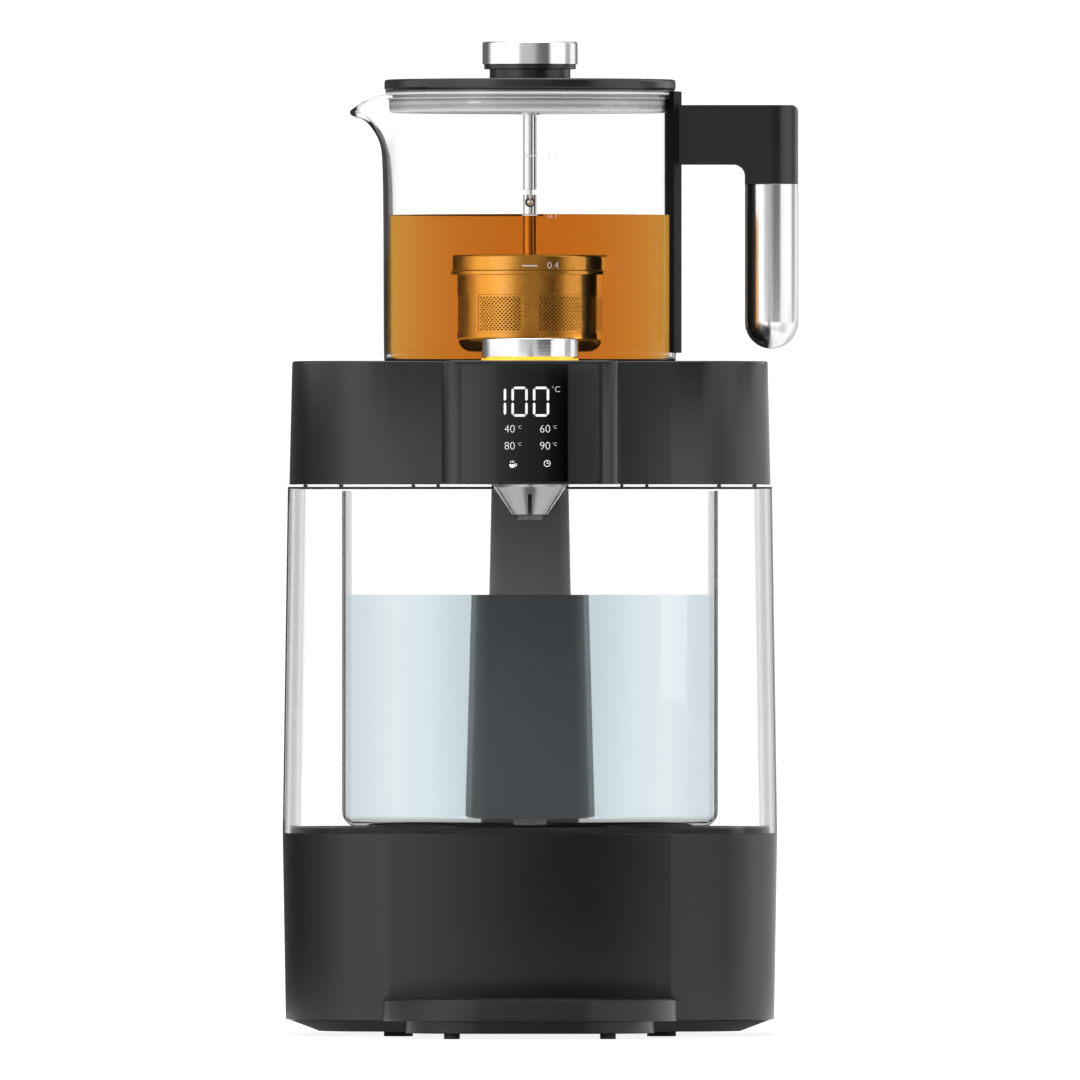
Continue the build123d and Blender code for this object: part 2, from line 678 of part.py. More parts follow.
def spine_half(back):
    """The front or the back cover of the hollow column."""
    column = spine_block(DECK_TOP, HEAD_LOW) - spine_block(DECK_TOP, HEAD_LOW, SPINE_WALL)
    near = SPINE_Y if back else SPINE_FRONT_Y
    far = SPINE_BACK_Y if back else SPINE_Y
    return column & bar(-SPINE_W_LOW, SPINE_W_LOW, near, far, DECK_TOP, HEAD_LOW)


# ---- Head
def bump_plan(inset=0.0):
    """The front bump's outline, which runs back into the head."""
    depth = BUMP_BACK_Y - BUMP_FRONT_Y - inset
    middle = BUMP_FRONT_Y + inset + depth / 2
    return Pos(0, middle) * RectangleRounded(BUMP_W - 2 * inset, depth, BUMP_R - inset)


def head_block(low, top, inset=0.0):
    """The head and its bump as one block, between two heights."""
    low_width = width_at(low, HEAD_LOW_W, HEAD_LOW, HEAD_TOP_W, HEAD_TOP)
    top_width = width_at(top, HEAD_LOW_W, HEAD_LOW, HEAD_TOP_W, HEAD_TOP)
    block = body_block(low_width, low, top_width, top, inset)
    return block + extrude(Pos(0, 0, low) * bump_plan(inset), top - low)


def flap_opening():
    """The hole in the head's top for the flap and its barrel."""
    half = FLAP_W / 2 + GAP
    back = FLAP_PIN_Y + FLAP_BARREL_R + GAP
    low = FLAP_PIN_Z - FLAP_BARREL_R - GAP
    return bar(-half, half, FLAP_FRONT_Y - GAP, back, low, HEAD_TOP)


def head_shell():
    """The head's walls and top, with the jug's recess and the openings."""
    shell = head_block(HEAD_LOW, HEAD_TOP)
    shell = fillet(shell.edges().group_by(Axis.Z)[-1], HEAD_EDGE_R)
    shell -= head_block(HEAD_LOW, HEAD_TOP - HEAD_WALL, HEAD_WALL)
    shell += disc(RECESS_R + RECESS_WALL, RECESS_FLOOR - RECESS_WALL, HEAD_TOP - HEAD_WALL, 0, JUG_Y)
    shell -= disc(RECESS_R, RECESS_FLOOR, HEAD_TOP, 0, JUG_Y)
    shell -= disc(PLATE_HOLE_R, RECESS_FLOOR - RECESS_WALL, RECESS_FLOOR, 0, JUG_Y)
    for x, y in corners(HEAD_BOSS_X, HEAD_BOSS_Y):
        shell += disc(HEAD_BOSS_R, FLOOR_TOP, HEAD_TOP - HEAD_WALL, x, y)
        shell -= disc(SCREW_R, FLOOR_TOP, HEAD_LOW + SCREW_L, x, y)
    shell += flap_ears()
    shell -= flap_opening()
    shell -= Pos(0, FLAP_PIN_Y, FLAP_PIN_Z) * Rot(0, 90, 0) * Cylinder(FLAP_PIN_R, flap_pin_length())
    shell -= disc(PLUNGER_R + RUN_FIT, HEAD_TOP - HEAD_WALL, HEAD_TOP, 0, DIAL_Y)
    shell -= window_block(BUMP_FRONT_Y, WINDOW_T, WINDOW_W, WINDOW_H, WINDOW_R)
    return shell - window_block(BUMP_FRONT_Y, HEAD_WALL, WINDOW_LIGHT_W, WINDOW_LIGHT_H, WINDOW_R)


def flap_pin_length():
    """The pin reaches to the middle of both ears."""
    return FLAP_W + 2 * GAP + EAR_W


def flap_ears():
    """Blocks under the head's top that hold the flap's pin."""
    half = FLAP_W / 2 + GAP
    low = FLAP_PIN_Z - 2 * FLAP_BARREL_R
    near = FLAP_PIN_Y - FLAP_BARREL_R - GAP
    far = FLAP_PIN_Y + FLAP_BARREL_R + GAP
    ear = bar(half, half + EAR_W, near, far, low, HEAD_TOP - HEAD_WALL)
    return ear + mirror(ear, about=Plane.YZ)


def window_block(front, depth, width, height, radius):
    """An upright slab behind the bump's front face, centred on it."""
    middle = (HEAD_LOW + HEAD_TOP) / 2
    outline = RectangleRounded(width, height, radius)
    return extrude(Plane(origin=(0, front, middle), z_dir=(0, 1, 0), x_dir=(1, 0, 0)) * outline, depth)


def head_floor():
    """The plate that closes the head, with the spacer ribs under it."""
    top_width = width_at(FLOOR_TOP, HEAD_LOW_W, HEAD_LOW, HEAD_TOP_W, HEAD_TOP)
    floor = body_block(HEAD_LOW_W, HEAD_LOW, top_width, FLOOR_TOP, HEAD_WALL)
    floor += extrude(Pos(0, 0, HEAD_LOW) * bump_plan(HEAD_WALL), FLOOR_T)
    floor -= disc(OUTLET_R, HEAD_LOW, FLOOR_TOP, 0, NOZZLE_Y)
    floor -= disc(TUBE_R, HEAD_LOW, FLOOR_TOP, RISER_X, SPINE_Y)
    floor -= disc(LOOM_R, HEAD_LOW, FLOOR_TOP, -RISER_X, SPINE_Y)
    floor -= chute_hole()
    for x, y in corners(HEAD_BOSS_X, HEAD_BOSS_Y):
        floor -= disc(SCREW_R, HEAD_LOW, FLOOR_TOP, x, y)
        floor -= disc(SCREW_HEAD_R, HEAD_LOW, HEAD_LOW + SCREW_HEAD_H, x, y)
    return floor


def spacer_ribs():
    """Small ribs on the seal that carry the head, with light between them."""
    reach = (SHELL_TOP_W - BODY_TAPER) / 2
    near = reach - SHELL_WALL
    ribs = []
    for inward in SEAL_NIB_IN:
        x = BODY_W / 2 - inward
        drop = rim_drop(x)
        for side in (-1, 1):
            for end in (-1, 1):
                y0, y1 = sorted((end * (near - drop), end * (reach - drop)))
                x0, x1 = side * x - SEAL_NIB_T / 2, side * x + SEAL_NIB_T / 2
                ribs.append(bar(x0, x1, y0, y1, SEAL_TOP, HEAD_LOW))
    return ribs


def rim_drop(x):
    """How far the rim has turned in from its front at this distance from the middle."""
    radius = CORNER_R - SHELL_DRAFT
    past = max(0.0, x - (SHELL_TOP_W / 2 - radius))
    return radius - (radius ** 2 - past ** 2) ** 0.5


def head_screws():
    """Screws that hold the head's floor to its bosses."""
    return [screw(x, y, HEAD_LOW, SCREW_L) for x, y in corners(HEAD_BOSS_X, HEAD_BOSS_Y)]


def display_window():
    """The glossy black window in the bump's front."""
    return window_block(BUMP_FRONT_Y, WINDOW_T, WINDOW_W, WINDOW_H, WINDOW_R)


def display_board():
    """The board behind the window, with the digit block that shines through it."""
    front = BUMP_FRONT_Y + WINDOW_T
    digits = window_block(front, HEAD_WALL - WINDOW_T + BOARD_T, WINDOW_LIGHT_W, WINDOW_LIGHT_H, WINDOW_R)
    return digits + window_block(BUMP_FRONT_Y + HEAD_WALL, BOARD_T, WINDOW_W, WINDOW_LIGHT_H, WINDOW_R)


# ---- Hot plate
def hot_plate():
    """The steel plate under the jug, with a rim that drops through the recess."""
    plate = disc(PLATE_R, PLATE_LOW, PLATE_TOP, 0, JUG_Y)
    outer = PLATE_HOLE_R - GAP
    return plate + tube(outer, outer - PLATE_SPIGOT_T, PLATE_LOW - PLATE_SPIGOT_H, PLATE_LOW, 0, JUG_Y)


def plate_seal():
    """The thin seal under the plate's edge."""
    return tube(PLATE_R, PLATE_HOLE_R, RECESS_FLOOR, PLATE_LOW, 0, JUG_Y)


def plate_heater():
    """The heating ring pressed against the plate."""
    outer = PLATE_HOLE_R - RING_IN
    return tube(outer, outer - RING_W, PLATE_LOW - RING_H, PLATE_LOW, 0, JUG_Y)


# ---- Dial
def dial_light():
    """The clear ring that glows under the dial."""
    ring = tube(LIGHT_R, LIGHT_HOLE_R, HEAD_TOP, HEAD_TOP + LIGHT_H, 0, DIAL_Y)
    lip = tube(LIGHT_LIP_R, LIGHT_HOLE_R, HEAD_TOP, HEAD_TOP + LIGHT_LIP_H, 0, DIAL_Y)
    return ring + lip


def dial_cap():
    """The chrome cap of the dial."""
    cap = disc(DIAL_R, DIAL_LOW, DIAL_TOP, 0, DIAL_Y)
    cap = fillet(cap.edges().group_by(Axis.Z)[-1], DIAL_EDGE_R)
    return cap - disc(DIAL_R - DIAL_WALL, DIAL_LOW, CORE_TOP, 0, DIAL_Y)


def dial_core():
    """The plastic core inside the cap, with a blind hole for the plunger."""
    core = disc(DIAL_R - DIAL_WALL, CORE_LOW, CORE_TOP, 0, DIAL_Y)
    core += disc(HUB_R, DIAL_LOW, CORE_LOW, 0, DIAL_Y)
    return core - disc(PLUNGER_R + RUN_FIT, DIAL_LOW, CORE_LOW + RUN_FIT, 0, DIAL_Y)


def encoder_plunger():
    """The stem that the dial turns on and pushes down."""
    return disc(PLUNGER_R, PLUNGER_LOW, PLUNGER_TOP, 0, DIAL_Y)


def encoder_body():
    """The encoder's case under the head's top."""
    top = HEAD_TOP - HEAD_WALL
    half = ENCODER_W / 2
    case = bar(-half, half, DIAL_Y - half, DIAL_Y + half, top - ENCODER_H, top)
    return case - disc(PLUNGER_R + RUN_FIT, PLUNGER_LOW - DIAL_TRAVEL - GAP, top, 0, DIAL_Y)


# ---- Nozzle
def cone(top_radius, tip_radius, low, top, collar):
    """A cone under a short collar, turned about the nozzle's axis."""
    points = [(0, low), (tip_radius, low), (top_radius, top - collar), (top_radius, top), (0, top)]
    profile = make_face(Polyline(*[(x, 0, z) for x, z in points], close=True))
    return Pos(0, NOZZLE_Y, 0) * revolve(profile, Axis.Z)


def nozzle_cone():
    """The chrome cone round the outlet, with a slit in its front."""
    body = cone(NOZZLE_TOP_R, NOZZLE_TIP_R, NOZZLE_LOW, HEAD_LOW, NOZZLE_COLLAR_H)
    inner_tip = NOZZLE_TIP_R - NOZZLE_WALL
    body -= cone(NOZZLE_TOP_R - NOZZLE_WALL, inner_tip, NOZZLE_LOW, HEAD_LOW, NOZZLE_COLLAR_H)
    front = NOZZLE_Y - NOZZLE_TOP_R
    slit = bar(-SLIT_W / 2, SLIT_W / 2, front, NOZZLE_Y - OUTLET_R, NOZZLE_LOW, NOZZLE_LOW + SLIT_H)
    return body - slit


def nozzle_tube():
    """The dark outlet tube inside the cone, held in the head's floor."""
    body = tube(OUTLET_R, OUTLET_BORE_R, OUTLET_LOW, OUTLET_TOP, 0, NOZZLE_Y)
    return body - disc(TUBE_R, OUTLET_TOP - PORT_L, OUTLET_TOP, 0, NOZZLE_Y)


# ---- Fill flap
def flap_pin():
    """The steel pin of the fill flap."""
    return Pos(0, FLAP_PIN_Y, FLAP_PIN_Z) * Rot(0, 90, 0) * Cylinder(FLAP_PIN_R, flap_pin_length())


def fill_flap():
    """The flap over the filling chute, with a barrel round the pin and a finger notch."""
    half = FLAP_W / 2
    plate = bar(-half, half, FLAP_FRONT_Y, FLAP_PIN_Y, FLAP_LOW, HEAD_TOP)
    at_pin = Pos(0, FLAP_PIN_Y, FLAP_PIN_Z) * Rot(0, 90, 0)
    plate += at_pin * Cylinder(FLAP_BARREL_R, FLAP_W)
    plate -= at_pin * Cylinder(FLAP_PIN_R + RUN_FIT, FLAP_W)
    return plate - disc(FLAP_NOTCH_R, FLAP_LOW, HEAD_TOP, 0, FLAP_FRONT_Y)


def chute_block(inset):
    """The slanting funnel from under the flap to above the tank."""
    top = Pos(0, CHUTE_TOP_Y, CHUTE_TOP) * Rectangle(CHUTE_W - 2 * inset, CHUTE_TOP_D - 2 * inset)
    low = Pos(0, CHUTE_LOW_Y, HEAD_LOW) * Rectangle(CHUTE_W - 2 * inset, CHUTE_LOW_D - 2 * inset)
    return loft([low, top], ruled=True)


def chute_hole():
    """The hole that the chute needs in the head's floor."""
    return chute_block(0) & bar(-CHUTE_W, CHUTE_W, -BODY_D, BODY_D, HEAD_LOW, FLOOR_TOP)


def fill_chute():
    """The filling chute, with a flange that the flap closes on."""
    half = FLAP_W / 2 + GAP
    flange = bar(-half, half, FLAP_FRONT_Y - GAP, FLAP_PIN_Y - FLAP_BARREL_R - GAP,
                 CHUTE_TOP - CHUTE_FLANGE_T, CHUTE_TOP)
    return chute_block(0) + flange - chute_block(CHUTE_WALL)


# ---- Jug
def spout_section(z, reach, inset):
    """The spout's outline at height z: a wedge with a rounded tip, this far out."""
    rise = min(1.0, (z - RIM + SPOUT_ROOT) / SPOUT_ROOT)
    half = (SPOUT_W_ROOT + (SPOUT_W_TOP - SPOUT_W_ROOT) * rise) / 2 - inset
    tip_radius = SPOUT_TIP_R - inset / 2
    length = SPOUT_BACK + reach - inset
    lean = atan2(half - tip_radius, length - tip_radius)
    apex = tip_radius / sin(lean) - tip_radius
    back = -(JUG_R - SPOUT_BACK)
    outline = make_face(Polyline((back, half), (back, -half), (back - length - apex, 0), close=True))
    outline = fillet(outline.vertices().sort_by(Axis.X)[0], tip_radius)
    return Pos(0, 0, z) * outline


def spout_block(inset=0.0):
    """The spout as a solid beak: a quarter of an oval curve, then straight up past the rim."""
    low = RIM - SPOUT_ROOT + inset
    sections = []
    for i in range(SPOUT_STEPS + 1):
        angle = radians(90 * i / SPOUT_STEPS)
        z = low + (SPOUT_ROOT - SPOUT_UNDER) * sin(angle)
        sections.append(spout_section(z, SPOUT_REACH * (1 - cos(angle)), inset))
    return loft(sections, ruled=True) + extrude(sections[-1], SPOUT_UNDER - inset + OVERCUT)


def spout_trim():
    """What is cut off above the spout's sloping lip."""
    near = -(JUG_R - GLASS_T)
    far = -(JUG_R + SPOUT_REACH + OVERCUT)
    slope = SPOUT_DROP / SPOUT_REACH
    over = RIM + 2 * OVERCUT
    points = [(near, RIM), (near, over), (far, over), (far, RIM - slope * (near - far))]
    wedge = make_face(Polyline(*[(x, 0, z) for x, z in points], close=True))
    return extrude(wedge, SPOUT_W_TOP, both=True)


def jug_glass():
    """The glass jug with its pulled spout."""
    body = disc(JUG_R, JUG_LOW, RIM)
    body = fillet(body.edges().group_by(Axis.Z)[0], JUG_FOOT_R)
    body += spout_block()
    inside = disc(JUG_BORE, JUG_LOW + GLASS_FLOOR, RIM)
    inside = fillet(inside.edges().group_by(Axis.Z)[0], JUG_FOOT_R - GLASS_T)
    body -= inside
    body -= spout_block(SPOUT_WALL)
    body -= spout_trim()
    body &= disc(2 * JUG_R, JUG_LOW, RIM)
    return Pos(0, JUG_Y, 0) * body


def strap():
    """The curved strap on the glass that carries the arm."""
    ring = tube(STRAP_R, JUG_R, JUG_LOW + STRAP_LOW, RIM + STRAP_TOP)
    far = 2 * STRAP_R
    half = far * tan(radians(STRAP_HALF_ANGLE))
    wedge = make_face(Polyline((0, 0), (far, half), (far, -half), close=True))
    return ring & extrude(Pos(0, 0, JUG_LOW) * wedge, 2 * JUG_H)


def arm():
    """The arm over the finger gap, round at its outer end."""
    inner = GRIP_X - GRIP_R
    points = [(STRAP_R - STRAP_T / 2, ARM_Z0), (STRAP_R - STRAP_T / 2, ARM_Z1), (ARM_END, ARM_Z1),
              (ARM_END, GRIP_TOP), (inner, GRIP_TOP), (inner, ARM_Z0)]
    side = make_face(Polyline(*[(x, 0, z) for x, z in points], close=True))
    corner = side.vertices().sort_by(lambda v: v.X + v.Z)[-1]
    side = fillet(corner, ARM_CORNER_R)
    crotch = side.vertices().sort_by(lambda v: abs(v.X - inner) + abs(v.Z - ARM_Z0))[0]
    side = fillet(crotch, ARM_CROTCH_R)
    length = ARM_END - JUG_R
    plan = Pos(ARM_END - length, 0, GRIP_TOP) * SlotOverall(2 * length, 2 * GRIP_R)
    return extrude(side, 2 * GRIP_R, both=True) & extrude(plan, ARM_DROP)


def handle_frame():
    """Strap, arm and the core that the grip is pushed onto."""
    frame = strap() + arm() - disc(JUG_R, JUG_LOW, RIM + STRAP_TOP)
    frame += disc(GRIP_R - GRIP_WALL, GRIP_TOP - CORE_L, GRIP_TOP, GRIP_X, 0)
    return Pos(0, JUG_Y, 0) * frame


def capsule(radius, low, top):
    """An upright rod with a round lower end."""
    return disc(radius, low + radius, top, GRIP_X) + Pos(GRIP_X, 0, low + radius) * Sphere(radius)


def handle_grip():
    """The steel sleeve of the handle."""
    sleeve = capsule(GRIP_R, GRIP_LOW, GRIP_TOP) - capsule(GRIP_R - GRIP_WALL, GRIP_LOW + GRIP_WALL, GRIP_TOP)
    return Pos(0, JUG_Y, 0) * sleeve


# ---- Lid
def at_jug(shape):
    """Move a turned piece onto the jug's axis."""
    return Pos(0, JUG_Y, 0) * shape


def lid_disc():
    """The black disc of the lid."""
    body = disc(LID_R, LID_LOW, LID_TOP)
    body = fillet(body.edges().group_by(Axis.Z)[0] + body.edges().group_by(Axis.Z)[-1], LID_EDGE_R)
    return at_jug(body - disc(ROD_R, LID_LOW, LID_TOP))


def lid_plug():
    """The clear plug under the disc, with a flange that lies over the rim."""
    body = disc(FLANGE_R, LID_STOP, LID_LOW)
    body += disc(PLUG_NECK_R, LID_STOP - PLUG_NECK_H, LID_STOP)
    lower = disc(PLUG_R, PLUG_LOW, LID_STOP - PLUG_NECK_H)
    body += fillet(lower.edges().group_by(Axis.Z)[0], PLUG_EDGE_R)
    body -= disc(PLUG_NECK_R - PLUG_WALL, PLUG_LOW + PLUG_WALL, LID_LOW)
    return at_jug(body - disc(ROD_R, PLUG_LOW, PLUG_LOW + PLUG_WALL))


def lid_seal():
    """The thin sealing lip in the plug's groove."""
    low = LID_STOP - PLUG_NECK_H
    return at_jug(tube(JUG_BORE - GAP, PLUG_NECK_R, low, low + LID_SEAL_T))


def lid_knob_base():
    """Neck and ring under the knob."""
    body = disc(KNOB_NECK_R, LID_TOP, KNOB_RING_LOW) + disc(KNOB_RING_R, KNOB_RING_LOW, KNOB_LOW)
    body += disc(KNOB_R - KNOB_WALL, KNOB_LOW, KNOB_TOP - KNOB_WALL)
    return at_jug(body - disc(ROD_R, LID_TOP, KNOB_LOW + KNOB_H / 2))


def lid_knob_cap():
    """The chrome cap of the lid's knob."""
    cap = disc(KNOB_R, KNOB_LOW, KNOB_TOP)
    cap = fillet(cap.edges().group_by(Axis.Z)[-1], KNOB_EDGE_R)
    return at_jug(cap - disc(KNOB_R - KNOB_WALL, KNOB_LOW, KNOB_TOP - KNOB_WALL))


def lid_rod():
    """The rod through the lid, with its flange, neck and ball."""
    body = disc(ROD_R, ROD_LOW, KNOB_LOW + KNOB_H / 2)
    body += disc(ROD_FLANGE_R, PLUG_LOW - ROD_FLANGE_H, PLUG_LOW)
    body += disc(LINK_NECK_R, BALL_Z, ROD_LOW)
    return at_jug(body + Pos(0, 0, BALL_Z) * Sphere(LINK_BALL_R))


# ---- Basket
def basket_stem():
    """The stem that hooks over the ball: a socket with a slot in its front."""
    body = disc(ROD_R, CAP_TOP, STEM_TOP)
    socket = LINK_BALL_R + LINK_GAP
    body -= Pos(0, 0, BALL_Z) * Sphere(socket)
    neck = LINK_SLOT_W / 2
    body -= disc(neck, BALL_Z, STEM_TOP) + bar(-neck, neck, -ROD_R, 0, BALL_Z, STEM_TOP)
    body -= Pos(0, -ROD_R / 2, BALL_Z) * Rot(90, 0, 0) * Cylinder(socket, ROD_R)
    return at_jug(body)


def basket_cap():
    """The cap of the basket, on the stem."""
    body = disc(CAP_R, BEAD_TOP, CAP_TOP)
    body = fillet(body.edges().group_by(Axis.Z)[-1], CAP_T)
    return at_jug(body - disc(CAP_R - CAP_T, BEAD_TOP, CAP_TOP - CAP_T))


def cup_block(radius, low):
    """The cup's outline with its rounded foot."""
    block = disc(radius, low, BEAD_LOW)
    return fillet(block.edges().group_by(Axis.Z)[0], CUP_FOOT_R - (CUP_R - radius))


def cup_panels(inner, outer):
    """Curved panels round the cup, between two radii."""
    top = BEAD_LOW - PANEL_TOP
    ring = tube(outer, inner, top - PANEL_H, top)
    half = 2 * CUP_R * tan(radians(PANEL_ANGLE) / 2)
    wedge = make_face(Polyline((0, 0), (2 * CUP_R, half), (2 * CUP_R, -half), close=True))
    sector = extrude(Pos(0, 0, CUP_LOW) * wedge, CUP_H)
    start = -90 - 180 / PANEL_COUNT
    return [ring & Rot(0, 0, start + i * 360 / PANEL_COUNT) * sector for i in range(PANEL_COUNT)]


def basket_cup():
    """The cup of the basket, with a window for each perforated panel."""
    body = cup_block(CUP_R, CUP_LOW) + tube(BEAD_R, CUP_R - CUP_T, BEAD_LOW, BEAD_TOP - GAP)
    body -= cup_block(CUP_R - CUP_T, CUP_LOW + CUP_T)
    for panel in cup_panels(CUP_R - 2 * CUP_T, CUP_R + CUP_T):
        body -= panel
    return at_jug(body)


def basket_panels():
    """The perforated panels, as thin curved plates."""
    middle = CUP_R - CUP_T / 2
    panels = cup_panels(middle - PANEL_T / 2, middle + PANEL_T / 2)
    return [at_jug(panel) for panel in panels]


# ---- Drip tray
def tray_plan(inset=0.0):
    """The tray's outline: straight at the back, round at the front."""
    outline = Rectangle(TRAY_W - 2 * inset, TRAY_D - 2 * inset)
    outline = fillet(outline.vertices().group_by(Axis.Y)[0], TRAY_FRONT_R - inset)
    outline = fillet(outline.vertices().group_by(Axis.Y)[-1], TRAY_BACK_R)
    return Pos(0, TRAY_Y) * outline


def tray_level(low, top, inset):
    """The tray's outline between two heights."""
    return extrude(Pos(0, 0, low) * tray_plan(inset), top - low)


def tray_body():
    """The bowl under its wider rim, with tongues that slide into the base."""
    body = tray_level(TRAY_FEET_H, TRAY_RIM_LOW, TRAY_BOWL_IN)
    body += tray_level(TRAY_RIM_LOW, TRAY_TOP, 0)
    body -= tray_level(TRAY_INSIDE, GRILLE_LOW, TRAY_BOWL_IN + TRAY_WALL)
    body -= tray_level(GRILLE_LOW - GAP, TRAY_TOP, TRAY_WALL)
    for side in (-1, 1):
        x = side * TONGUE_X
        body += bar(x - TONGUE_W / 2, x + TONGUE_W / 2, TRAY_BACK_Y - TRAY_WALL, TRAY_BACK_Y + TONGUE_L,
                    TONGUE_LOW, TONGUE_LOW + TONGUE_H)
    return body


def tray_feet():
    """Four small feet under the tray."""
    reach = TRAY_D / 2 - TRAY_FOOT_IN
    return [disc(TRAY_FOOT_R, 0, TRAY_FEET_H, x, TRAY_Y + y) for x, y in corners(TRAY_FOOT_X, reach)]


def tray_grille():
    """The grille: ring slots broken by spokes."""
    plate = tray_level(GRILLE_LOW, GRILLE_TOP, TRAY_WALL + GAP)
    slots_out = TRAY_D / 2 - SLOT_IN
    for i in range(SLOT_COUNT):
        outer = slots_out - i * SLOT_PITCH
        plate -= tube(outer, outer - SLOT_W, GRILLE_LOW, GRILLE_TOP, 0, TRAY_Y)
    reach = slots_out + SPOKE_W / 2
    for i in range(SPOKE_COUNT):
        spoke = bar(0, reach, -SPOKE_W / 2, SPOKE_W / 2, GRILLE_LOW, GRILLE_TOP)
        plate += Pos(0, TRAY_Y, 0) * Rot(0, 0, SPOKE_START + 360 * i / SPOKE_COUNT) * spoke
    return plate


# ---- Pump, heater, boards and tubes
def pump_mount():
    """The rubber cup that the pump stands in."""
    top = PLATE_INSIDE + MOUNT_H
    return disc(MOUNT_R, PLATE_INSIDE, top, PUMP_X, PUMP_Y) - disc(MOTOR_R, MOTOR_LOW, top, PUMP_X, PUMP_Y)


def pump_motor():
    """The motor's can, with the bore that the impeller's shaft runs in."""
    can = disc(MOTOR_R, MOTOR_LOW, MOTOR_TOP, PUMP_X, PUMP_Y)
    return can - disc(SHAFT_R + RUN_FIT, MOTOR_TOP - SHAFT_L - GAP, MOTOR_TOP, PUMP_X, PUMP_Y)


def pump_housing():
    """The chamber round the impeller, with an inlet on top and an outlet at its side."""
    x, y = PUMP_X, PUMP_Y
    body = disc(HOUSING_R, MOTOR_TOP, HOUSING_TOP, x, y)
    body += disc(PORT_R, HOUSING_TOP, HOUSING_TOP + PORT_L, x, y)
    side = Pos(x + HOUSING_R, y, PUMP_PORT_Z) * Rot(0, 90, 0)
    body += side * Cylinder(PORT_R, 2 * PORT_L)
    body -= disc(HOUSING_R - HOUSING_WALL, MOTOR_TOP + HOUSING_WALL, HOUSING_TOP - HOUSING_WALL, x, y)
    body -= disc(SHAFT_R + RUN_FIT, MOTOR_TOP, MOTOR_TOP + HOUSING_WALL, x, y)
    body -= disc(PORT_BORE_R, HOUSING_TOP - HOUSING_WALL, HOUSING_TOP + PORT_L, x, y)
    return body - side * Cylinder(PORT_BORE_R, 2 * PORT_L)


def pump_impeller():
    """The impeller and its shaft."""
    low = MOTOR_TOP + HOUSING_WALL + GAP
    body = disc(IMPELLER_R, low, low + IMPELLER_T, PUMP_X, PUMP_Y)
    body += disc(SHAFT_R, MOTOR_TOP - SHAFT_L, low, PUMP_X, PUMP_Y)
    hub = 2 * SHAFT_R
    body += disc(hub, low, low + IMPELLER_T + BLADE_H, PUMP_X, PUMP_Y)
    blade = bar(SHAFT_R, IMPELLER_R - BLADE_T / 2, -BLADE_T / 2, BLADE_T / 2, low, low + IMPELLER_T + BLADE_H)
    for i in range(BLADE_COUNT):
        body += Pos(PUMP_X, PUMP_Y, 0) * Rot(0, 0, 360 * i / BLADE_COUNT) * blade
    return body


def suction_tube():
    """The hose between the tank's outlet and the pump's inlet."""
    low = HOUSING_TOP + GAP
    return tube(PORT_R + HOSE_WALL, PORT_R, low, DECK_LOW - GAP, PUMP_X, PUMP_Y)


def heater_block():
    """The flow heater, with two ports on top."""
    half = HEATER_W / 2
    body = bar(HEATER_X - half, HEATER_X + half, -HEATER_D / 2, HEATER_D / 2, HEATER_LOW, HEATER_TOP)
    body = fillet(body.edges().filter_by(Axis.Y), HEATER_EDGE_R)
    for y in (-HEATER_PORT_Y, HEATER_PORT_Y):
        body += disc(TUBE_R, HEATER_TOP, HEATER_TOP + HEATER_PORT_H, HEATER_X, y)
        body -= disc(TUBE_BORE_R, HEATER_TOP - HEATER_H / 2, HEATER_TOP + HEATER_PORT_H, HEATER_X, y)
    return body - bore_along_heater()


def bore_along_heater():
    """The water way that joins the heater's two ports."""
    middle = HEATER_TOP - HEATER_H / 2
    return Pos(HEATER_X, 0, middle) * Rot(90, 0, 0) * Cylinder(TUBE_BORE_R, 2 * HEATER_PORT_Y)


def heater_bracket():
    """Two folded strips that carry the heater above the underside."""
    half = HEATER_W / 2
    strips = []
    for y in (-BRACKET_Y, BRACKET_Y):
        near, far = y - BRACKET_D / 2, y + BRACKET_D / 2
        outer = bar(HEATER_X - half - BRACKET_T, HEATER_X + half + BRACKET_T, near, far,
                    PLATE_INSIDE, HEATER_LOW + HEATER_H / 2)
        gap = bar(HEATER_X - half, HEATER_X + half, near, far, HEATER_LOW, HEATER_TOP)
        hollow = bar(HEATER_X - half, HEATER_X + half, near, far,
                     PLATE_INSIDE + BRACKET_T, HEATER_LOW - BRACKET_T)
        strips.append(outer - gap - hollow)
    return strips


def power_board():
    """The control board on its posts, with its capacitor, relay and terminal block."""
    half_w, half_d = CIRCUIT_W / 2, CIRCUIT_D / 2
    x, y, top = CIRCUIT_X, CIRCUIT_Y, CIRCUIT_TOP
    board = bar(x - half_w, x + half_w, y - half_d, y + half_d, CIRCUIT_LOW, top)
    board += disc(CAPACITOR_R, top, top + CAPACITOR_H, x + CAPACITOR_X, y)
    board += bar(x, x + RELAY_W, y - RELAY_D, y, top, top + RELAY_H)
    middle = y + TERMINAL_Y
    board += bar(x - TERMINAL_W / 2, x + TERMINAL_W / 2, middle - TERMINAL_D / 2, middle + TERMINAL_D / 2,
                 top, top + TERMINAL_H)
    return board


def power_inlet():
    """The mains inlet in the back wall, with two pins."""
    back = BODY_D / 2 - INLET_SET_IN
    half_w, half_h = INLET_W / 2, INLET_H / 2
    body = bar(INLET_X - half_w, INLET_X + half_w, back - INLET_D, back, INLET_Z - half_h, INLET_Z + half_h)
    inner_w, inner_h = half_w - INLET_WALL, half_h - INLET_WALL
    body -= bar(INLET_X - inner_w, INLET_X + inner_w, back - INLET_HOLE_D, back,
                INLET_Z - inner_h, INLET_Z + inner_h)
    for side in (-1, 1):
        x = INLET_X + side * INLET_PIN_X
        y = back - INLET_HOLE_D + INLET_PIN_L / 2
        body += Pos(x, y, INLET_Z) * Rot(90, 0, 0) * Cylinder(INLET_PIN_R, INLET_PIN_L)
    return body


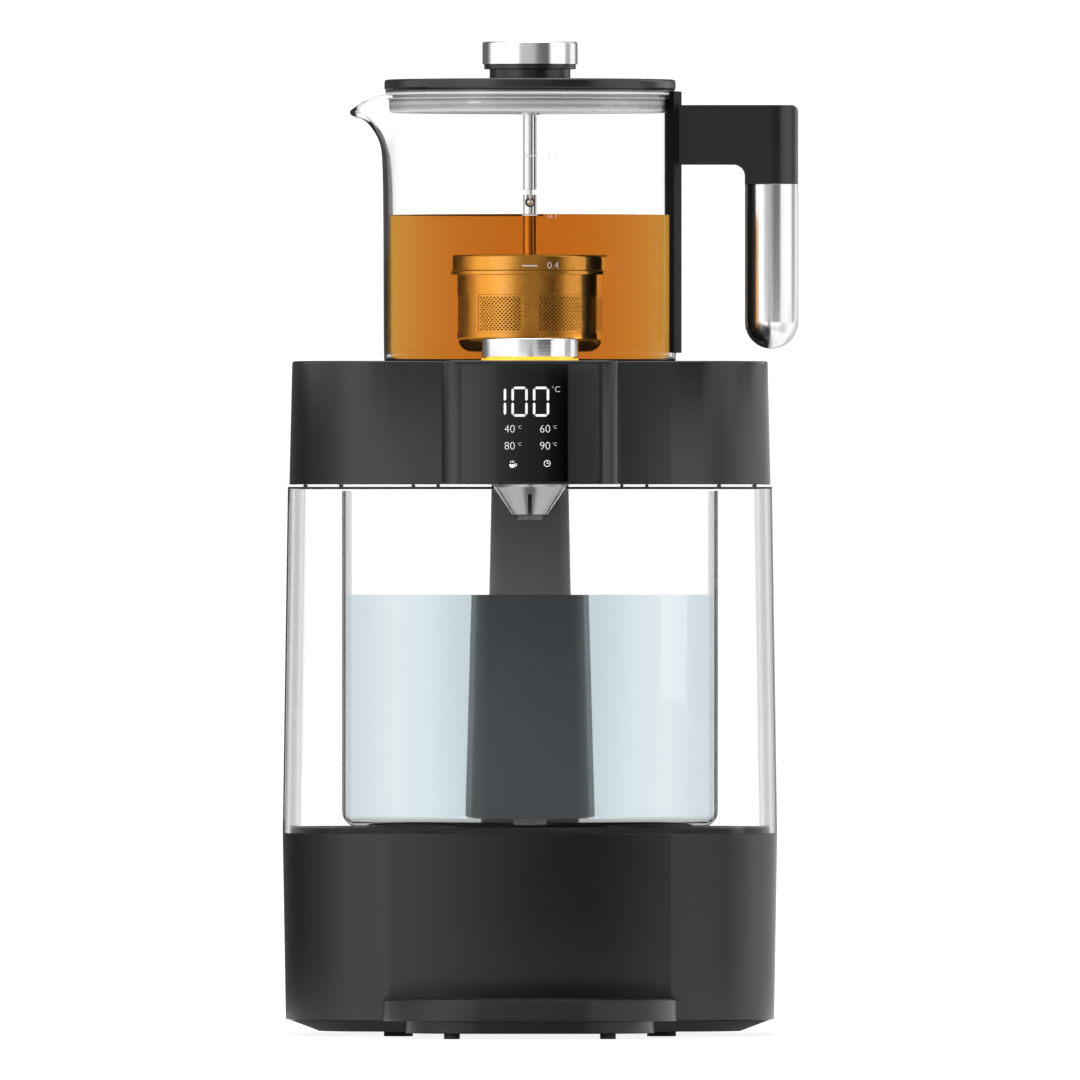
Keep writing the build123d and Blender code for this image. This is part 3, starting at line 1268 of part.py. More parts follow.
def feed_tube():
    """The tube from the pump to the heater's front port."""
    start = (PUMP_X + HOUSING_R + PORT_L, PUMP_Y, PUMP_PORT_Z)
    turn = (HEATER_X - 2 * BEND_R, PUMP_Y, PUMP_PORT_Z)
    over = (HEATER_X, -HEATER_PORT_Y, PUMP_PORT_Z)
    end = (HEATER_X, -HEATER_PORT_Y, HEATER_TOP + HEATER_PORT_H)
    return pipe([start, turn, over, end], TUBE_R, TUBE_BORE_R, BEND_R)


def delivery_tube():
    """The hot water tube: heater, column, head and nozzle."""
    below_deck = DECK_LOW - BEND_R - TUBE_R
    in_head = FLOOR_TOP + BEND_R + TUBE_R
    points = [
        (HEATER_X, HEATER_PORT_Y, HEATER_TOP + HEATER_PORT_H),
        (HEATER_X, HEATER_PORT_Y, below_deck),
        (RISER_X, SPINE_Y, below_deck),
        (RISER_X, SPINE_Y, in_head),
        (TUBE_RUN_X, SPINE_Y - 2 * BEND_R, in_head),
        (TUBE_RUN_X, BUMP_BACK_Y, in_head),
        (0, NOZZLE_Y, in_head),
        (0, NOZZLE_Y, OUTLET_TOP - PORT_L),
    ]
    return pipe(points, TUBE_R, TUBE_BORE_R, BEND_R)


def wire_loom():
    """The wires from the power board up the column to the display board."""
    below_deck = DECK_LOW - BEND_R - LOOM_R
    in_head = FLOOR_TOP + BEND_R + LOOM_R
    points = [
        (CIRCUIT_X, CIRCUIT_Y + TERMINAL_Y, CIRCUIT_TOP + TERMINAL_H),
        (CIRCUIT_X, CIRCUIT_Y + TERMINAL_Y, below_deck),
        (-RISER_X, SPINE_Y, below_deck),
        (-RISER_X, SPINE_Y, in_head),
        (-TUBE_RUN_X, SPINE_Y - 2 * BEND_R, in_head),
        (-TUBE_RUN_X, BUMP_BACK_Y, in_head),
        (-2 * BEND_R, DIAL_Y, in_head),
        (-2 * BEND_R, BUMP_FRONT_Y + HEAD_WALL + BOARD_T, in_head),
    ]
    return pipe(points, LOOM_R, 0, BEND_R)


PARTS = {
    "base_shell": base_shell,
    "base_plate": base_plate,
    "base_feet": base_feet,
    "base_screws": base_screws,
    "base_deck": base_deck,
    "outer_shell": outer_shell,
    "shell_seal": shell_seal,
    "spacer_ribs": spacer_ribs,
    "tank": tank,
    "tank_outlet": tank_outlet,
    "spine_front": lambda: spine_half(False),
    "spine_rear": lambda: spine_half(True),
    "head_shell": head_shell,
    "head_floor": head_floor,
    "head_screws": head_screws,
    "display_window": display_window,
    "display_board": display_board,
    "hot_plate": hot_plate,
    "plate_seal": plate_seal,
    "plate_heater": plate_heater,
    "dial_light": dial_light,
    "dial_cap": dial_cap,
    "dial_core": dial_core,
    "encoder_plunger": encoder_plunger,
    "encoder_body": encoder_body,
    "nozzle_cone": nozzle_cone,
    "nozzle_tube": nozzle_tube,
    "flap_pin": flap_pin,
    "fill_flap": fill_flap,
    "fill_chute": fill_chute,
    "jug_glass": jug_glass,
    "handle_frame": handle_frame,
    "handle_grip": handle_grip,
    "lid_disc": lid_disc,
    "lid_plug": lid_plug,
    "lid_seal": lid_seal,
    "lid_knob_base": lid_knob_base,
    "lid_knob_cap": lid_knob_cap,
    "lid_rod": lid_rod,
    "basket_stem": basket_stem,
    "basket_cap": basket_cap,
    "basket_cup": basket_cup,
    "basket_panels": basket_panels,
    "tray_body": tray_body,
    "tray_feet": tray_feet,
    "tray_grille": tray_grille,
    "pump_mount": pump_mount,
    "pump_motor": pump_motor,
    "pump_housing": pump_housing,
    "pump_impeller": pump_impeller,
    "suction_tube": suction_tube,
    "heater_block": heater_block,
    "heater_bracket": heater_bracket,
    "power_board": power_board,
    "power_inlet": power_inlet,
    "feed_tube": feed_tube,
    "delivery_tube": delivery_tube,
    "wire_loom": wire_loom,
}

os.makedirs("parts", exist_ok=True)
for name, make in PARTS.items():
    made = make()
    save(name, Part() + made if isinstance(made, list) else made)
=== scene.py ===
# %% [markdown]
# # A tea maker, dressed for its picture
#
# The solids of this tea maker come packed from CAD, at their real size. Blender adds what a solid can't
# show: clear plastic, water and tea, a pulled glass spout, a perforated steel basket, lit digits and the
# finish of every surface. The solids stay where they are, and each new piece rides on one of their bodies.

# %% Load the solids
import math

import bpy
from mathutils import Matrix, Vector


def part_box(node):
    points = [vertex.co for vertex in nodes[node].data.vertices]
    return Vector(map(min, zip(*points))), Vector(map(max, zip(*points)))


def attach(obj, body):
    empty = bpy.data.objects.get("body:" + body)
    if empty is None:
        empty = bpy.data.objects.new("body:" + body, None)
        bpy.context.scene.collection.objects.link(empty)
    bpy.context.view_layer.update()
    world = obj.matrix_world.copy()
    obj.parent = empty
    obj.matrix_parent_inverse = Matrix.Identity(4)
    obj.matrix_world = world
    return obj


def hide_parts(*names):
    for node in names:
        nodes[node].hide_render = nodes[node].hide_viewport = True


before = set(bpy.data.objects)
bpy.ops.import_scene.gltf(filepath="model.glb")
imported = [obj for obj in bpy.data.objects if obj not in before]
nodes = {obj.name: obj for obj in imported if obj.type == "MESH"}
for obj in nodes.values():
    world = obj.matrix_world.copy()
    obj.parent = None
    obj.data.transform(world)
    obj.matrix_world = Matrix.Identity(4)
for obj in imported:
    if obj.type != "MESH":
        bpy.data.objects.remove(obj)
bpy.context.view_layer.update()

# %% [markdown]
# Every size below is in metres, as Blender's units are. A short name for a millimetre keeps them readable.
# The pieces of the jug all share one axis, so its place is read once, from the round lid.

# %% Sizes that several pieces share
MM = 0.001


def middle(name):
    """The middle of a solid's box."""
    low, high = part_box(name)
    return (low + high) / 2


def low_z(name):
    """The height of a solid's lowest point."""
    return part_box(name)[0].z


def high_z(name):
    """The height of a solid's highest point."""
    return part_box(name)[1].z


JUG_AXIS = middle("lid_disc")
JUG_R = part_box("jug_glass")[1].x - JUG_AXIS.x
GLASS_T = 2.5 * MM
JUG_FLOOR_T = 3.2 * MM
JUG_FOOT_R = 4.5 * MM
JUG_LOW = low_z("jug_glass")
RIM = high_z("jug_glass")
print("jug radius", round(JUG_R / MM, 2), "axis", [round(v / MM, 1) for v in JUG_AXIS])

# %% [markdown]
# The camera stands far away and level with the middle of the machine, so the picture is nearly without
# perspective.

# %% Camera
PIXEL = 0.45 * MM           # one pixel of the picture at the middle of the body
IMAGE = 1080
DISTANCE = 18.0
EYE_SIDE = 10 * PIXEL       # from the middle of the body
EYE_LEVEL = 494.5 * PIXEL   # above the ground
body_low, body_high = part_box("base_shell")
body_middle = (body_low + body_high) / 2
camera = bpy.data.objects.new("camera", bpy.data.cameras.new("camera"))
bpy.context.scene.collection.objects.link(camera)
camera.data.lens = camera.data.sensor_width * DISTANCE / (IMAGE * PIXEL)
camera.data.clip_end = 100.0
camera.location = (body_middle.x + EYE_SIDE, body_middle.y - DISTANCE, EYE_LEVEL)
camera.rotation_euler = (math.radians(90), 0, 0)
bpy.context.scene.camera = camera
print("lens", round(camera.data.lens, 1))

# %% [markdown]
# ## Helpers for modelling
#
# An operator works on whatever is selected, so each piece starts with an empty selection. Faces, edges and
# points are then picked in code by where they are, as a hand would pick them on the screen.

# %% Selecting and editing


def deselect():
    """Leave edit mode and deselect every object."""
    if bpy.context.object and bpy.context.object.mode != "OBJECT":
        bpy.ops.object.mode_set(mode="OBJECT")
    bpy.ops.object.select_all(action="DESELECT")


def edit(obj, kind="VERT"):
    """Open one object in edit mode with nothing selected."""
    deselect()
    bpy.context.view_layer.objects.active = obj
    obj.select_set(True)
    bpy.ops.object.mode_set(mode="EDIT")
    bpy.ops.mesh.select_mode(type=kind)
    bpy.ops.mesh.select_all(action="DESELECT")


def pick(obj, test, kind="VERT"):
    """Select the points, edges or faces whose middle passes a test, and say how many there were."""
    bpy.ops.object.mode_set(mode="OBJECT")
    mesh = obj.data
    parts = {"VERT": mesh.vertices, "EDGE": mesh.edges, "FACE": mesh.polygons}[kind]
    for group in (mesh.vertices, mesh.edges, mesh.polygons):
        group.foreach_set("select", [False] * len(group))
    count = 0
    for part in parts:
        if kind == "VERT":
            place = part.co
        elif kind == "EDGE":
            place = (mesh.vertices[part.vertices[0]].co + mesh.vertices[part.vertices[1]].co) / 2
        else:
            place = part.center
        if test(place):
            part.select = True
            count += 1
    bpy.ops.object.mode_set(mode="EDIT")
    bpy.ops.mesh.select_mode(type=kind)
    return count


def modify(obj, kind, **settings):
    """Add a modifier and apply it."""
    if obj.mode != "OBJECT":
        bpy.ops.object.mode_set(mode="OBJECT")
    modifier = obj.modifiers.new(kind.title(), kind)
    for key, value in settings.items():
        setattr(modifier, key, value)
    bpy.context.view_layer.objects.active = obj
    bpy.ops.object.modifier_apply(modifier=modifier.name)


def cylinder(radius, low, high, sides, ends="NOTHING", axis=JUG_AXIS):
    """An upright cylinder between two heights, open or with its ends filled."""
    deselect()
    bpy.ops.mesh.primitive_cylinder_add(vertices=sides, radius=radius, depth=high - low, end_fill_type=ends,
                                        location=(axis.x, axis.y, (low + high) / 2))
    return bpy.context.object


def finished(obj, name, body, smooth=30):
    """Name a piece, apply its place, smooth it by angle and make it ride on a body."""
    deselect()
    bpy.context.view_layer.objects.active = obj
    obj.select_set(True)
    bpy.ops.object.transform_apply()
    bpy.ops.object.shade_smooth_by_angle(angle=math.radians(smooth))
    obj.name = name
    obj.data.name = name
    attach(obj, body)
    print(name, "points", len(obj.data.vertices), "on", body)
    return obj


# %% [markdown]
# ## Helpers for finishes
#
# A material is a small network of nodes, long to write out and hard to read. So a `Signal` stands for one
# output and understands + - * **, and a `Finish` adds a node in one call.

# %% Signals and finishes


class Signal:
    """One output of a material's network. Arithmetic on it adds Math nodes."""

    def __init__(self, finish, socket):
        self.finish = finish
        self.socket = socket

    def __add__(self, other):
        return self.finish.math("ADD", self, other)

    def __sub__(self, other):
        return self.finish.math("SUBTRACT", self, other)

    def __mul__(self, other):
        return self.finish.math("MULTIPLY", self, other)

    def __pow__(self, other):
        return self.finish.math("POWER", self, other)


class Finish:
    """A material with one Principled shader. Its uniform values are set on the shader's own sockets."""

    def __init__(self, name, **values):
        self.material = bpy.data.materials.new(name)
        self.material.use_nodes = True
        self.tree = self.material.node_tree
        self.shader = self.tree.nodes["Principled BSDF"]
        for key, value in values.items():
            self.feed(key.replace("_", " "), value)

    def fill(self, socket, value):
        """Give a socket a plain value, or link a signal to it."""
        if isinstance(value, Signal):
            self.tree.links.new(value.socket, socket)
        else:
            socket.default_value = value

    def feed(self, name, value):
        """Fill one of the shader's sockets."""
        self.fill(self.shader.inputs[name], value)

    def node(self, kind, settings, *inputs, output=0, **named):
        """Add a node: its settings first, then the values or signals of its sockets."""
        node = self.tree.nodes.new(kind)
        for key, value in settings.items():
            setattr(node, key, value)
        for socket, value in zip(node.inputs, inputs):
            self.fill(socket, value)
        for key, value in named.items():
            self.fill(node.inputs[key.replace("_", " ")], value)
        return Signal(self, node.outputs[output])

    def place(self):
        """The point of the surface, in metres, in the object's own frame."""
        return self.node("ShaderNodeTexCoord", {}, output=3)

    def stretched(self, scale, move=(0, 0, 0)):
        """The same point, moved and scaled along each axis."""
        return self.node("ShaderNodeMapping", {}, self.place(), move, (0, 0, 0), scale)

    def along(self, axis, start, end, first=0.0, last=1.0):
        """A number that goes from first to last between two places on an axis: 0 is x and 2 is z."""
        place = self.node("ShaderNodeSeparateXYZ", {}, self.place(), output=axis)
        return self.node("ShaderNodeMapRange", {}, place, start, end, first, last)

    def math(self, operation, first, second=0.0):
        """One Math node."""
        return self.node("ShaderNodeMath", {"operation": operation}, first, second)

    def noise(self, scale, detail, vector=None):
        """Soft noise of so many lumps a metre."""
        return self.node("ShaderNodeTexNoise", {}, Vector=vector or self.place(), Scale=scale, Detail=detail)

    def mix(self, factor, first, second):
        """A colour between two others."""
        node = self.tree.nodes.new("ShaderNodeMix")
        node.data_type = "RGBA"
        for place, value in ((0, factor), (6, first), (7, second)):
            self.fill(node.inputs[place], value)
        return Signal(self, node.outputs[2])

    def ramp(self, stops, signal):
        """A colour that follows a signal from 0 to 1. A stop is a place with a colour or a shade of grey."""
        stops = [(place, shade if isinstance(shade, tuple) else grey(shade)) for place, shade in stops]
        node = self.tree.nodes.new("ShaderNodeValToRGB")
        elements = node.color_ramp.elements
        for end, (place, colour) in zip(elements, (stops[0], stops[-1])):
            end.position = place
            end.color = colour
        for place, colour in stops[1:-1]:
            elements.new(place).color = colour
        self.fill(node.inputs[0], signal)
        return Signal(self, node.outputs[0])

    def facing(self):
        """0 where the surface looks straight along the ray, 1 where it is seen edge on."""
        return self.node("ShaderNodeLayerWeight", {}, 0.5, output=1)

    def murky(self, colour, density):
        """Lose light on the way through, as thick plastic, water and tea do."""
        absorb = self.tree.nodes.new("ShaderNodeVolumeAbsorption")
        absorb.inputs["Color"].default_value = colour
        absorb.inputs["Density"].default_value = density
        end = self.tree.nodes["Material Output"]
        self.tree.links.new(absorb.outputs[0], end.inputs["Volume"])

    def rough(self, base, swing, signal):
        """Let the roughness swing about its base with a signal from 0 to 1."""
        self.feed("Roughness", (signal - 0.5) * (2 * swing) + base)

    def vary(self, signal, dark, light, gloss=None):
        """Let one signal move the colour between two greys or colours, and the roughness with it."""
        dark, light = [shade if isinstance(shade, tuple) else grey(shade) for shade in (dark, light)]
        self.feed("Base Color", self.mix(signal, dark, light))
        if gloss:
            self.rough(*gloss, signal)

    def relief(self, height, depth, edge=0.0):
        """Raise the surface by a signal, this many metres, over edges softened by a radius."""
        bump = {"Height": height, "Distance": depth, "Strength": 1.0}
        if edge:
            bump["Normal"] = self.node("ShaderNodeBevel", {"samples": 4}, edge)
        self.feed("Normal", self.node("ShaderNodeBump", {}, **bump))


def grey(value):
    """A neutral colour."""
    return (value, value, value, 1.0)


def wear(names, finish):
    """Give solids their finish."""
    for name in names:
        mesh = nodes[name].data
        mesh.materials.clear()
        mesh.materials.append(finish.material)
    print(finish.material.name, "on", ", ".join(names))


def dress(obj, finish):
    """Give a new piece its finish."""
    obj.data.materials.clear()
    obj.data.materials.append(finish.material)


# %% [markdown]
# ## Black plastics
#
# The head and the base are moulded in black ABS with a very fine satin texture. Up close such a skin is a
# spread of tiny lumps, with slow changes in gloss where the mould was polished unevenly. Moulded edges are
# never sharp, so the normals are rounded over by half a millimetre with a Bevel node.

# %% Satin black of the head and base
satin_black = Finish("satin_black", Base_Color=grey(0.011), IOR=1.5)
lumps = satin_black.noise(2600, 2.0)
cloud = satin_black.noise(18, 3.0)
satin_black.vary(cloud, 0.005, 0.0075, (0.18, 0.03))
satin_black.relief(lumps, 0.003 * MM, edge=0.7 * MM)
wear(["head_shell", "base_shell", "head_floor", "spacer_ribs"], satin_black)

# %% [markdown]
# The deck, the underside and the tray are from the same plastic with a slightly coarser grain, which makes
# them duller and a shade darker.

# %% Grained black of the deck and tray
grained_black = Finish("grained_black", Base_Color=grey(0.018), IOR=1.47)
grains = grained_black.node("ShaderNodeTexVoronoi", {}, Vector=grained_black.place(), Scale=1500.0)
patches = grained_black.noise(30, 2.0)
grained_black.vary(patches, 0.006, 0.01, (0.24, 0.04))
grained_black.relief(grains, 0.012 * MM, edge=0.6 * MM)
wear(["base_plate", "tray_body", "tray_grille", "fill_flap", "fill_chute", "power_inlet"],
     grained_black)

# %% [markdown]
# The deck under the tank is left matte, so that it doesn't mirror the room through the clear walls.

# %% Matte black of the deck
deck_black = Finish("deck_black", Base_Color=grey(0.008), Specular_IOR_Level=0.08)
scuffs = deck_black.noise(120, 4.0)
deck_black.vary(scuffs, 0.006, 0.011, (0.55, 0.08))
deck_black.relief(scuffs, 0.01 * MM, edge=0.6 * MM)
wear(["base_deck"], deck_black)

# %% [markdown]
# Lid, handle and knob base are polished a little more, as parts that are held and wiped often.

# %% Trim black
trim_black = Finish("trim_black", Base_Color=grey(0.016), IOR=1.5)
wipes = trim_black.noise(9, 3.0, trim_black.stretched((1, 1, 4)))
fine = trim_black.noise(3200, 1.0)
trim_black.vary(wipes, 0.007, 0.01, (0.25, 0.04))
trim_black.relief(fine, 0.006 * MM, edge=0.5 * MM)
wear(["lid_disc", "lid_knob_base", "handle_frame", "dial_core", "encoder_body", "encoder_plunger"],
     trim_black)

# %% [markdown]
# The strap that holds the handle to the jug is matte. It is one solid with the arm, so the faces that lie
# close round the jug get a second material.

# %% Matte strap
STRAP_R = JUG_R + 2.4 * MM
strap_black = Finish("strap_black", Base_Color=grey(0.006), Specular_IOR_Level=0.04)
haze = strap_black.noise(200, 3.0)
strap_black.vary(haze, 0.005, 0.008, (0.45, 0.06))
handle = nodes["handle_frame"].data
handle.materials.append(strap_black.material)
for face in handle.polygons:
    if math.hypot(face.center.x - JUG_AXIS.x, face.center.y - JUG_AXIS.y) < STRAP_R:
        face.material_index = 1
print("strap faces", sum(face.material_index for face in handle.polygons))

# %% [markdown]
# The column behind the tank is dark grey, and the tube in the nozzle is a matte black liner.

# %% Column grey
column_grey = Finish("column_grey", Base_Color=grey(0.12), Specular_IOR_Level=0.15)
streaks = column_grey.noise(40, 3.0, column_grey.stretched((1, 1, 0.05)))
column_grey.vary(streaks, 0.133, 0.16, (0.5, 0.05))
column_grey.relief(streaks, 0.002 * MM)
wear(["spine_front", "spine_rear", "nozzle_tube"], column_grey)

# %% [markdown]
# The display window is polished acrylic over a printed field. The field is black behind the digits. Beside
# them, past a soft edge on the left and a sharp one on the right, the ramp paints it a lighter grey: a
# painted sheen, standing in for the soft reflection that the front shows there. A ramp along x draws it.

# %% Window gloss, with a painted sheen
WINDOW_LOW, WINDOW_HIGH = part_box("display_window")
# Greys across the window: the dark printed field behind the digits, and a painted sheen on both sides of it.
FIELD_AND_PAINTED_SHEEN = ((0.0, 0.028), (0.2, 0.021), (0.28, 0.006), (0.6, 0.005), (0.64, 0.001), (0.775, 0.0), (0.785, 0.03),
         (1.0, 0.045))
window_gloss = Finish("window_gloss", Roughness=0.06, IOR=1.49)
across = window_gloss.along(0, WINDOW_LOW.x, WINDOW_HIGH.x)
window_gloss.feed("Base Color", window_gloss.ramp(FIELD_AND_PAINTED_SHEEN, across))
smears = window_gloss.noise(60, 4.0, window_gloss.stretched((1, 1, 0.3)))
window_gloss.rough(0.08, 0.03, smears)

# %% [markdown]
# The window is one sheet of acrylic over the whole front of the bump. It starts as a block, whose corners
# are rounded by a large bevel and whose front edge is broken by a small one, as a cut and polished sheet is.

# %% Model the window
SHEET_T = 1.0 * MM
SHEET_PROUD = 0.06 * MM
SHEET_FOOT = 0.9 * MM       # from the head's lower edge
SHEET_TOP = 1.6 * MM        # from its upper edge
SHEET_CORNER = 1.5 * MM
sheet_y = WINDOW_LOW.y - SHEET_PROUD
sheet_low = Vector((WINDOW_LOW.x, sheet_y, low_z("head_shell") + SHEET_FOOT))
sheet_high = Vector((WINDOW_HIGH.x, sheet_y + SHEET_T, high_z("head_shell") - SHEET_TOP))
deselect()
bpy.ops.mesh.primitive_cube_add(size=1.0, location=(sheet_low + sheet_high) / 2,
                                scale=sheet_high - sheet_low)
sheet = bpy.context.object
bpy.ops.object.transform_apply(location=False, rotation=False, scale=True)
edit(sheet, "EDGE")
pick(sheet, lambda p: abs(p.y) < SHEET_T * 0.1, "EDGE")
bpy.ops.mesh.bevel(offset=SHEET_CORNER, segments=5)
pick(sheet, lambda p: p.y < -SHEET_T * 0.49, "EDGE")
bpy.ops.mesh.bevel(offset=0.05 * MM, segments=2)
sheet = finished(sheet, "window_sheet", "machine", smooth=20)
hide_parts("display_window")
dress(sheet, window_gloss)

# %% [markdown]
# ## Metals
#
# The dial and the knob are chromed and turned on a lathe, so their scratches run round them. Rings in the
# height of the surface follow the distance from the axis on top and the height on the side.

# %% Turned chrome


def turned_chrome(name, axis, shade, gloss):
    """Chrome with fine rings about an upright axis."""
    finish = Finish(name, Base_Color=grey(shade), Metallic=1.0)
    centred = finish.stretched((1, 1, 1), (-axis.x, -axis.y, 0))
    x, y, z = [finish.node("ShaderNodeSeparateXYZ", {}, centred, output=i) for i in range(3)]
    radius = (x * x + y * y) ** 0.5
    rings = finish.node("ShaderNodeCombineXYZ", {}, radius * 6.0, z * 6.0, 0.0)
    scratch = finish.noise(1400, 2.0, rings)
    finish.vary(scratch, shade * 0.92, shade * 1.06, (gloss, 0.05))
    finish.relief(scratch, 0.003 * MM, edge=0.3 * MM)
    return finish


wear(["dial_cap"], turned_chrome("dial_chrome", middle("dial_cap"), 0.8, 0.09))
wear(["lid_knob_cap"], turned_chrome("knob_chrome", JUG_AXIS, 0.8, 0.16))
# The cone's chrome is darkened to 0.34 against the others' 0.8: a painted shade, for a darker reflection of
# the room below it.
wear(["nozzle_cone"], turned_chrome("cone_chrome_painted_shade", middle("nozzle_cone"), 0.34, 0.24))

# %% [markdown]
# The grip is a drawn steel sleeve, so its grain runs along it. The rod, basket and plate are brushed finer.

# %% Brushed steel


def brushed_steel(name, scale, shade, gloss):
    """Steel with scratches along the direction whose scale is small."""
    finish = Finish(name, Base_Color=grey(shade), Metallic=1.0)
    lines = finish.noise(900, 3.0, finish.stretched(scale))
    finish.vary(lines, shade * 0.9, shade * 1.08, (gloss, 0.06))
    finish.relief(lines, 0.004 * MM, edge=0.3 * MM)
    return finish


wear(["handle_grip"], brushed_steel("grip_steel", (1, 1, 0.02), 0.74, 0.2))
wear(["lid_rod", "basket_stem", "flap_pin"], brushed_steel("rod_steel", (1, 1, 0.03), 0.72, 0.1))
cup_steel = brushed_steel("cup_steel", (0.3, 0.3, 2.0), 0.86, 0.16)
wear(["basket_cap", "basket_cup"], cup_steel)
wear(["hot_plate", "heater_bracket", "base_screws", "head_screws", "pump_motor"],
     brushed_steel("plate_steel", (0.04, 1, 1), 0.55, 0.3))

# %% [markdown]
# ## Clear plastic
#
# The outer shell and the tank are clear. A clear wall is almost invisible face on and turns grey where it is
# seen edge on, because light has a long way to go through it. Layer Weight gives that angle.

# %% Clear shell and tank


def clear(name, ior, stops, within=None):
    """A clear material, with a ramp of brightness from face on to edge on, and one for rays in the wall."""
    finish = Finish(name, Transmission_Weight=1.0, IOR=ior, Roughness=0.0)
    ramps = [finish.ramp(shades, finish.facing()) for shades in (stops, within or stops)]
    in_wall = finish.node("ShaderNodeNewGeometry", {}, output="Backfacing")
    finish.feed("Base Color", finish.mix(in_wall, *ramps))
    return finish


shell_clear = clear("shell_clear", 1.18, ((0, 1.0), (0.6, 0.99), (0.8, 0.92), (1, 0.6)),
                    within=((0, 1.0), (0.33, 0.98), (0.37, 0.85), (0.41, 0.42), (0.5, 0.3)))
shell_clear.murky(grey(0.1), 2.5)
tank_clear = clear("tank_clear", 1.05, ((0, 1.0), (0.42, 0.99), (0.52, 0.78), (0.8, 0.6), (1, 0.5)))
tank_clear.murky(grey(0.1), 8.0)
wear(["outer_shell"], shell_clear)
wear(["tank"], tank_clear)
for name in ("outer_shell", "tank"):
    nodes[name].visible_shadow = False      # clear walls let the lamps light what is behind them

# %% [markdown]
# The plug under the lid is moulded in milky plastic. It lets light through but no shapes, so it is part
# diffuse and part rough transmission. Its colour is painted in bands up its height: white at its foot, then
# painted shade inside the jug's rim, under its flange and in the lid's shadow. Its flange gets a painted
# glow, light painted in as emission under the dark lid.

# %% Milky plug, with painted shade and a painted glow
PLUG_PAINTED_SHADE = ((0.0, 1.0), (0.06, 1.0), (0.13, 0.57), (0.22, 0.32), (0.3, 0.29), (0.39, 0.46), (0.48, 0.38),
               (0.52, 0.22), (0.58, 0.25), (0.61, 0.38), (0.7, 0.38), (0.75, 0.55), (0.85, 0.75), (0.9, 0.5),
               (0.94, 0.1))
PLUG_PAINTED_GLOW = ((0.0, 0.0), (0.75, 0.0), (0.775, 0.45), (0.835, 0.38), (0.875, 0.1), (0.91, 0.0))
plug_milky_painted_light = Finish("plug_milky_painted_light", Transmission_Weight=0.35, IOR=1.4, Emission_Strength=1.0)
rise = plug_milky_painted_light.along(2, low_z("lid_plug"), low_z("lid_disc"))
milk = plug_milky_painted_light.noise(40, 2.0, plug_milky_painted_light.stretched((1, 1, 6)))
# painted shade up the plug's height, with a random milky tone on top
plug_milky_painted_light.feed("Base Color", plug_milky_painted_light.ramp(PLUG_PAINTED_SHADE, rise) * (milk * 0.15 + 0.85))
# painted glow on the flange, as emission
plug_milky_painted_light.feed("Emission Color", plug_milky_painted_light.ramp(PLUG_PAINTED_GLOW, rise))
plug_milky_painted_light.rough(0.26, 0.04, milk)
wear(["lid_plug"], plug_milky_painted_light)

# %% [markdown]
# ## Rubber, amber light and the parts inside
#
# The rest is seen only through gaps or from below, and still gets its own finish: soft rubber, a glowing
# amber light guide, cast aluminium, white pump plastic and a green circuit board with its copper traces.

# %% Rubber
rubber = Finish("rubber", Base_Color=grey(0.02), Roughness=0.7)
dust = rubber.noise(400, 4.0)
rubber.vary(dust, 0.014, 0.03, (0.68, 0.1))
rubber.relief(dust, 0.03 * MM, edge=0.4 * MM)
wear(["base_feet", "tray_feet", "shell_seal", "plate_seal", "pump_mount", "suction_tube", "feed_tube",
      "delivery_tube", "wire_loom"], rubber)

# %% [markdown]
# The lid's seal is soft grey silicone, a paler ring than black rubber would be.

# %% Grey silicone of the lid's seal
silicone = Finish("silicone", Base_Color=grey(0.3), Roughness=0.5)
bloom = silicone.noise(300, 3.0)
silicone.vary(bloom, 0.26, 0.36)
silicone.relief(bloom, 0.01 * MM, edge=0.2 * MM)
wear(["lid_seal"], silicone)

# %% Amber light guide
amber = Finish("amber_light", Base_Color=(1.0, 0.5, 0.03, 1), Roughness=0.3, Emission_Strength=1.0)
glow = amber.noise(160, 1.0)
amber.feed("Emission Color", amber.mix(glow, (0.9, 0.42, 0.01, 1), (1.0, 0.55, 0.02, 1)))
wear(["dial_light"], amber)

# %% Cast aluminium, pump plastic and circuit board
cast = Finish("cast_aluminium", Base_Color=grey(0.6), Metallic=1.0)
pits = cast.noise(700, 5.0)
cast.vary(pits, 0.5, 0.68, (0.45, 0.1))
cast.relief(pits, 0.06 * MM, edge=0.5 * MM)
wear(["heater_block", "plate_heater"], cast)

pump_white = Finish("pump_white", Base_Color=(0.62, 0.61, 0.58, 1), Subsurface_Weight=0.05)
flow = pump_white.noise(90, 3.0)
pump_white.vary(flow, (0.58, 0.57, 0.54, 1), (0.66, 0.65, 0.62, 1), (0.42, 0.05))
pump_white.relief(pump_white.noise(1800, 2.0), 0.01 * MM, edge=0.5 * MM)
wear(["pump_housing", "pump_impeller", "tank_outlet"], pump_white)

board = Finish("circuit_board", Base_Color=(0.02, 0.16, 0.06, 1), Coat_Weight=0.4)
traces = board.node("ShaderNodeTexBrick", {"offset": 0.5}, board.place(), (0.02, 0.16, 0.06, 1),
                    (0.03, 0.2, 0.08, 1), (0.3, 0.22, 0.08, 1), 220.0, 0.03)
board.feed("Base Color", traces)
board.rough(0.4, 0.1, board.noise(500, 2.0))
wear(["power_board", "display_board"], board)

# %% [markdown]
# ## Water in the tank
#
# Water fills the tank to a level line. It starts as a square block, which is cut down to the tank's own
# outline: rounded at the back, bowed at the front. The bow makes the water a weak lens, which is why the
# column behind it looks wider below the water line.

# %% Model the water
WATER_TOP = 198 * MM
TANK_WALL = 2.2 * MM
TANK_FLOOR = 3.9 * MM
FILM = 0.08 * MM            # air left between a liquid and its wall
WATER_EDGE = 1.5 * MM
BOW_R = 100 * MM
TANK_EDGE_R = 16 * MM
TANK_BACK_R = 14 * MM
tank_low, tank_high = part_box("tank")
water_low = tank_low.z + TANK_FLOOR + FILM


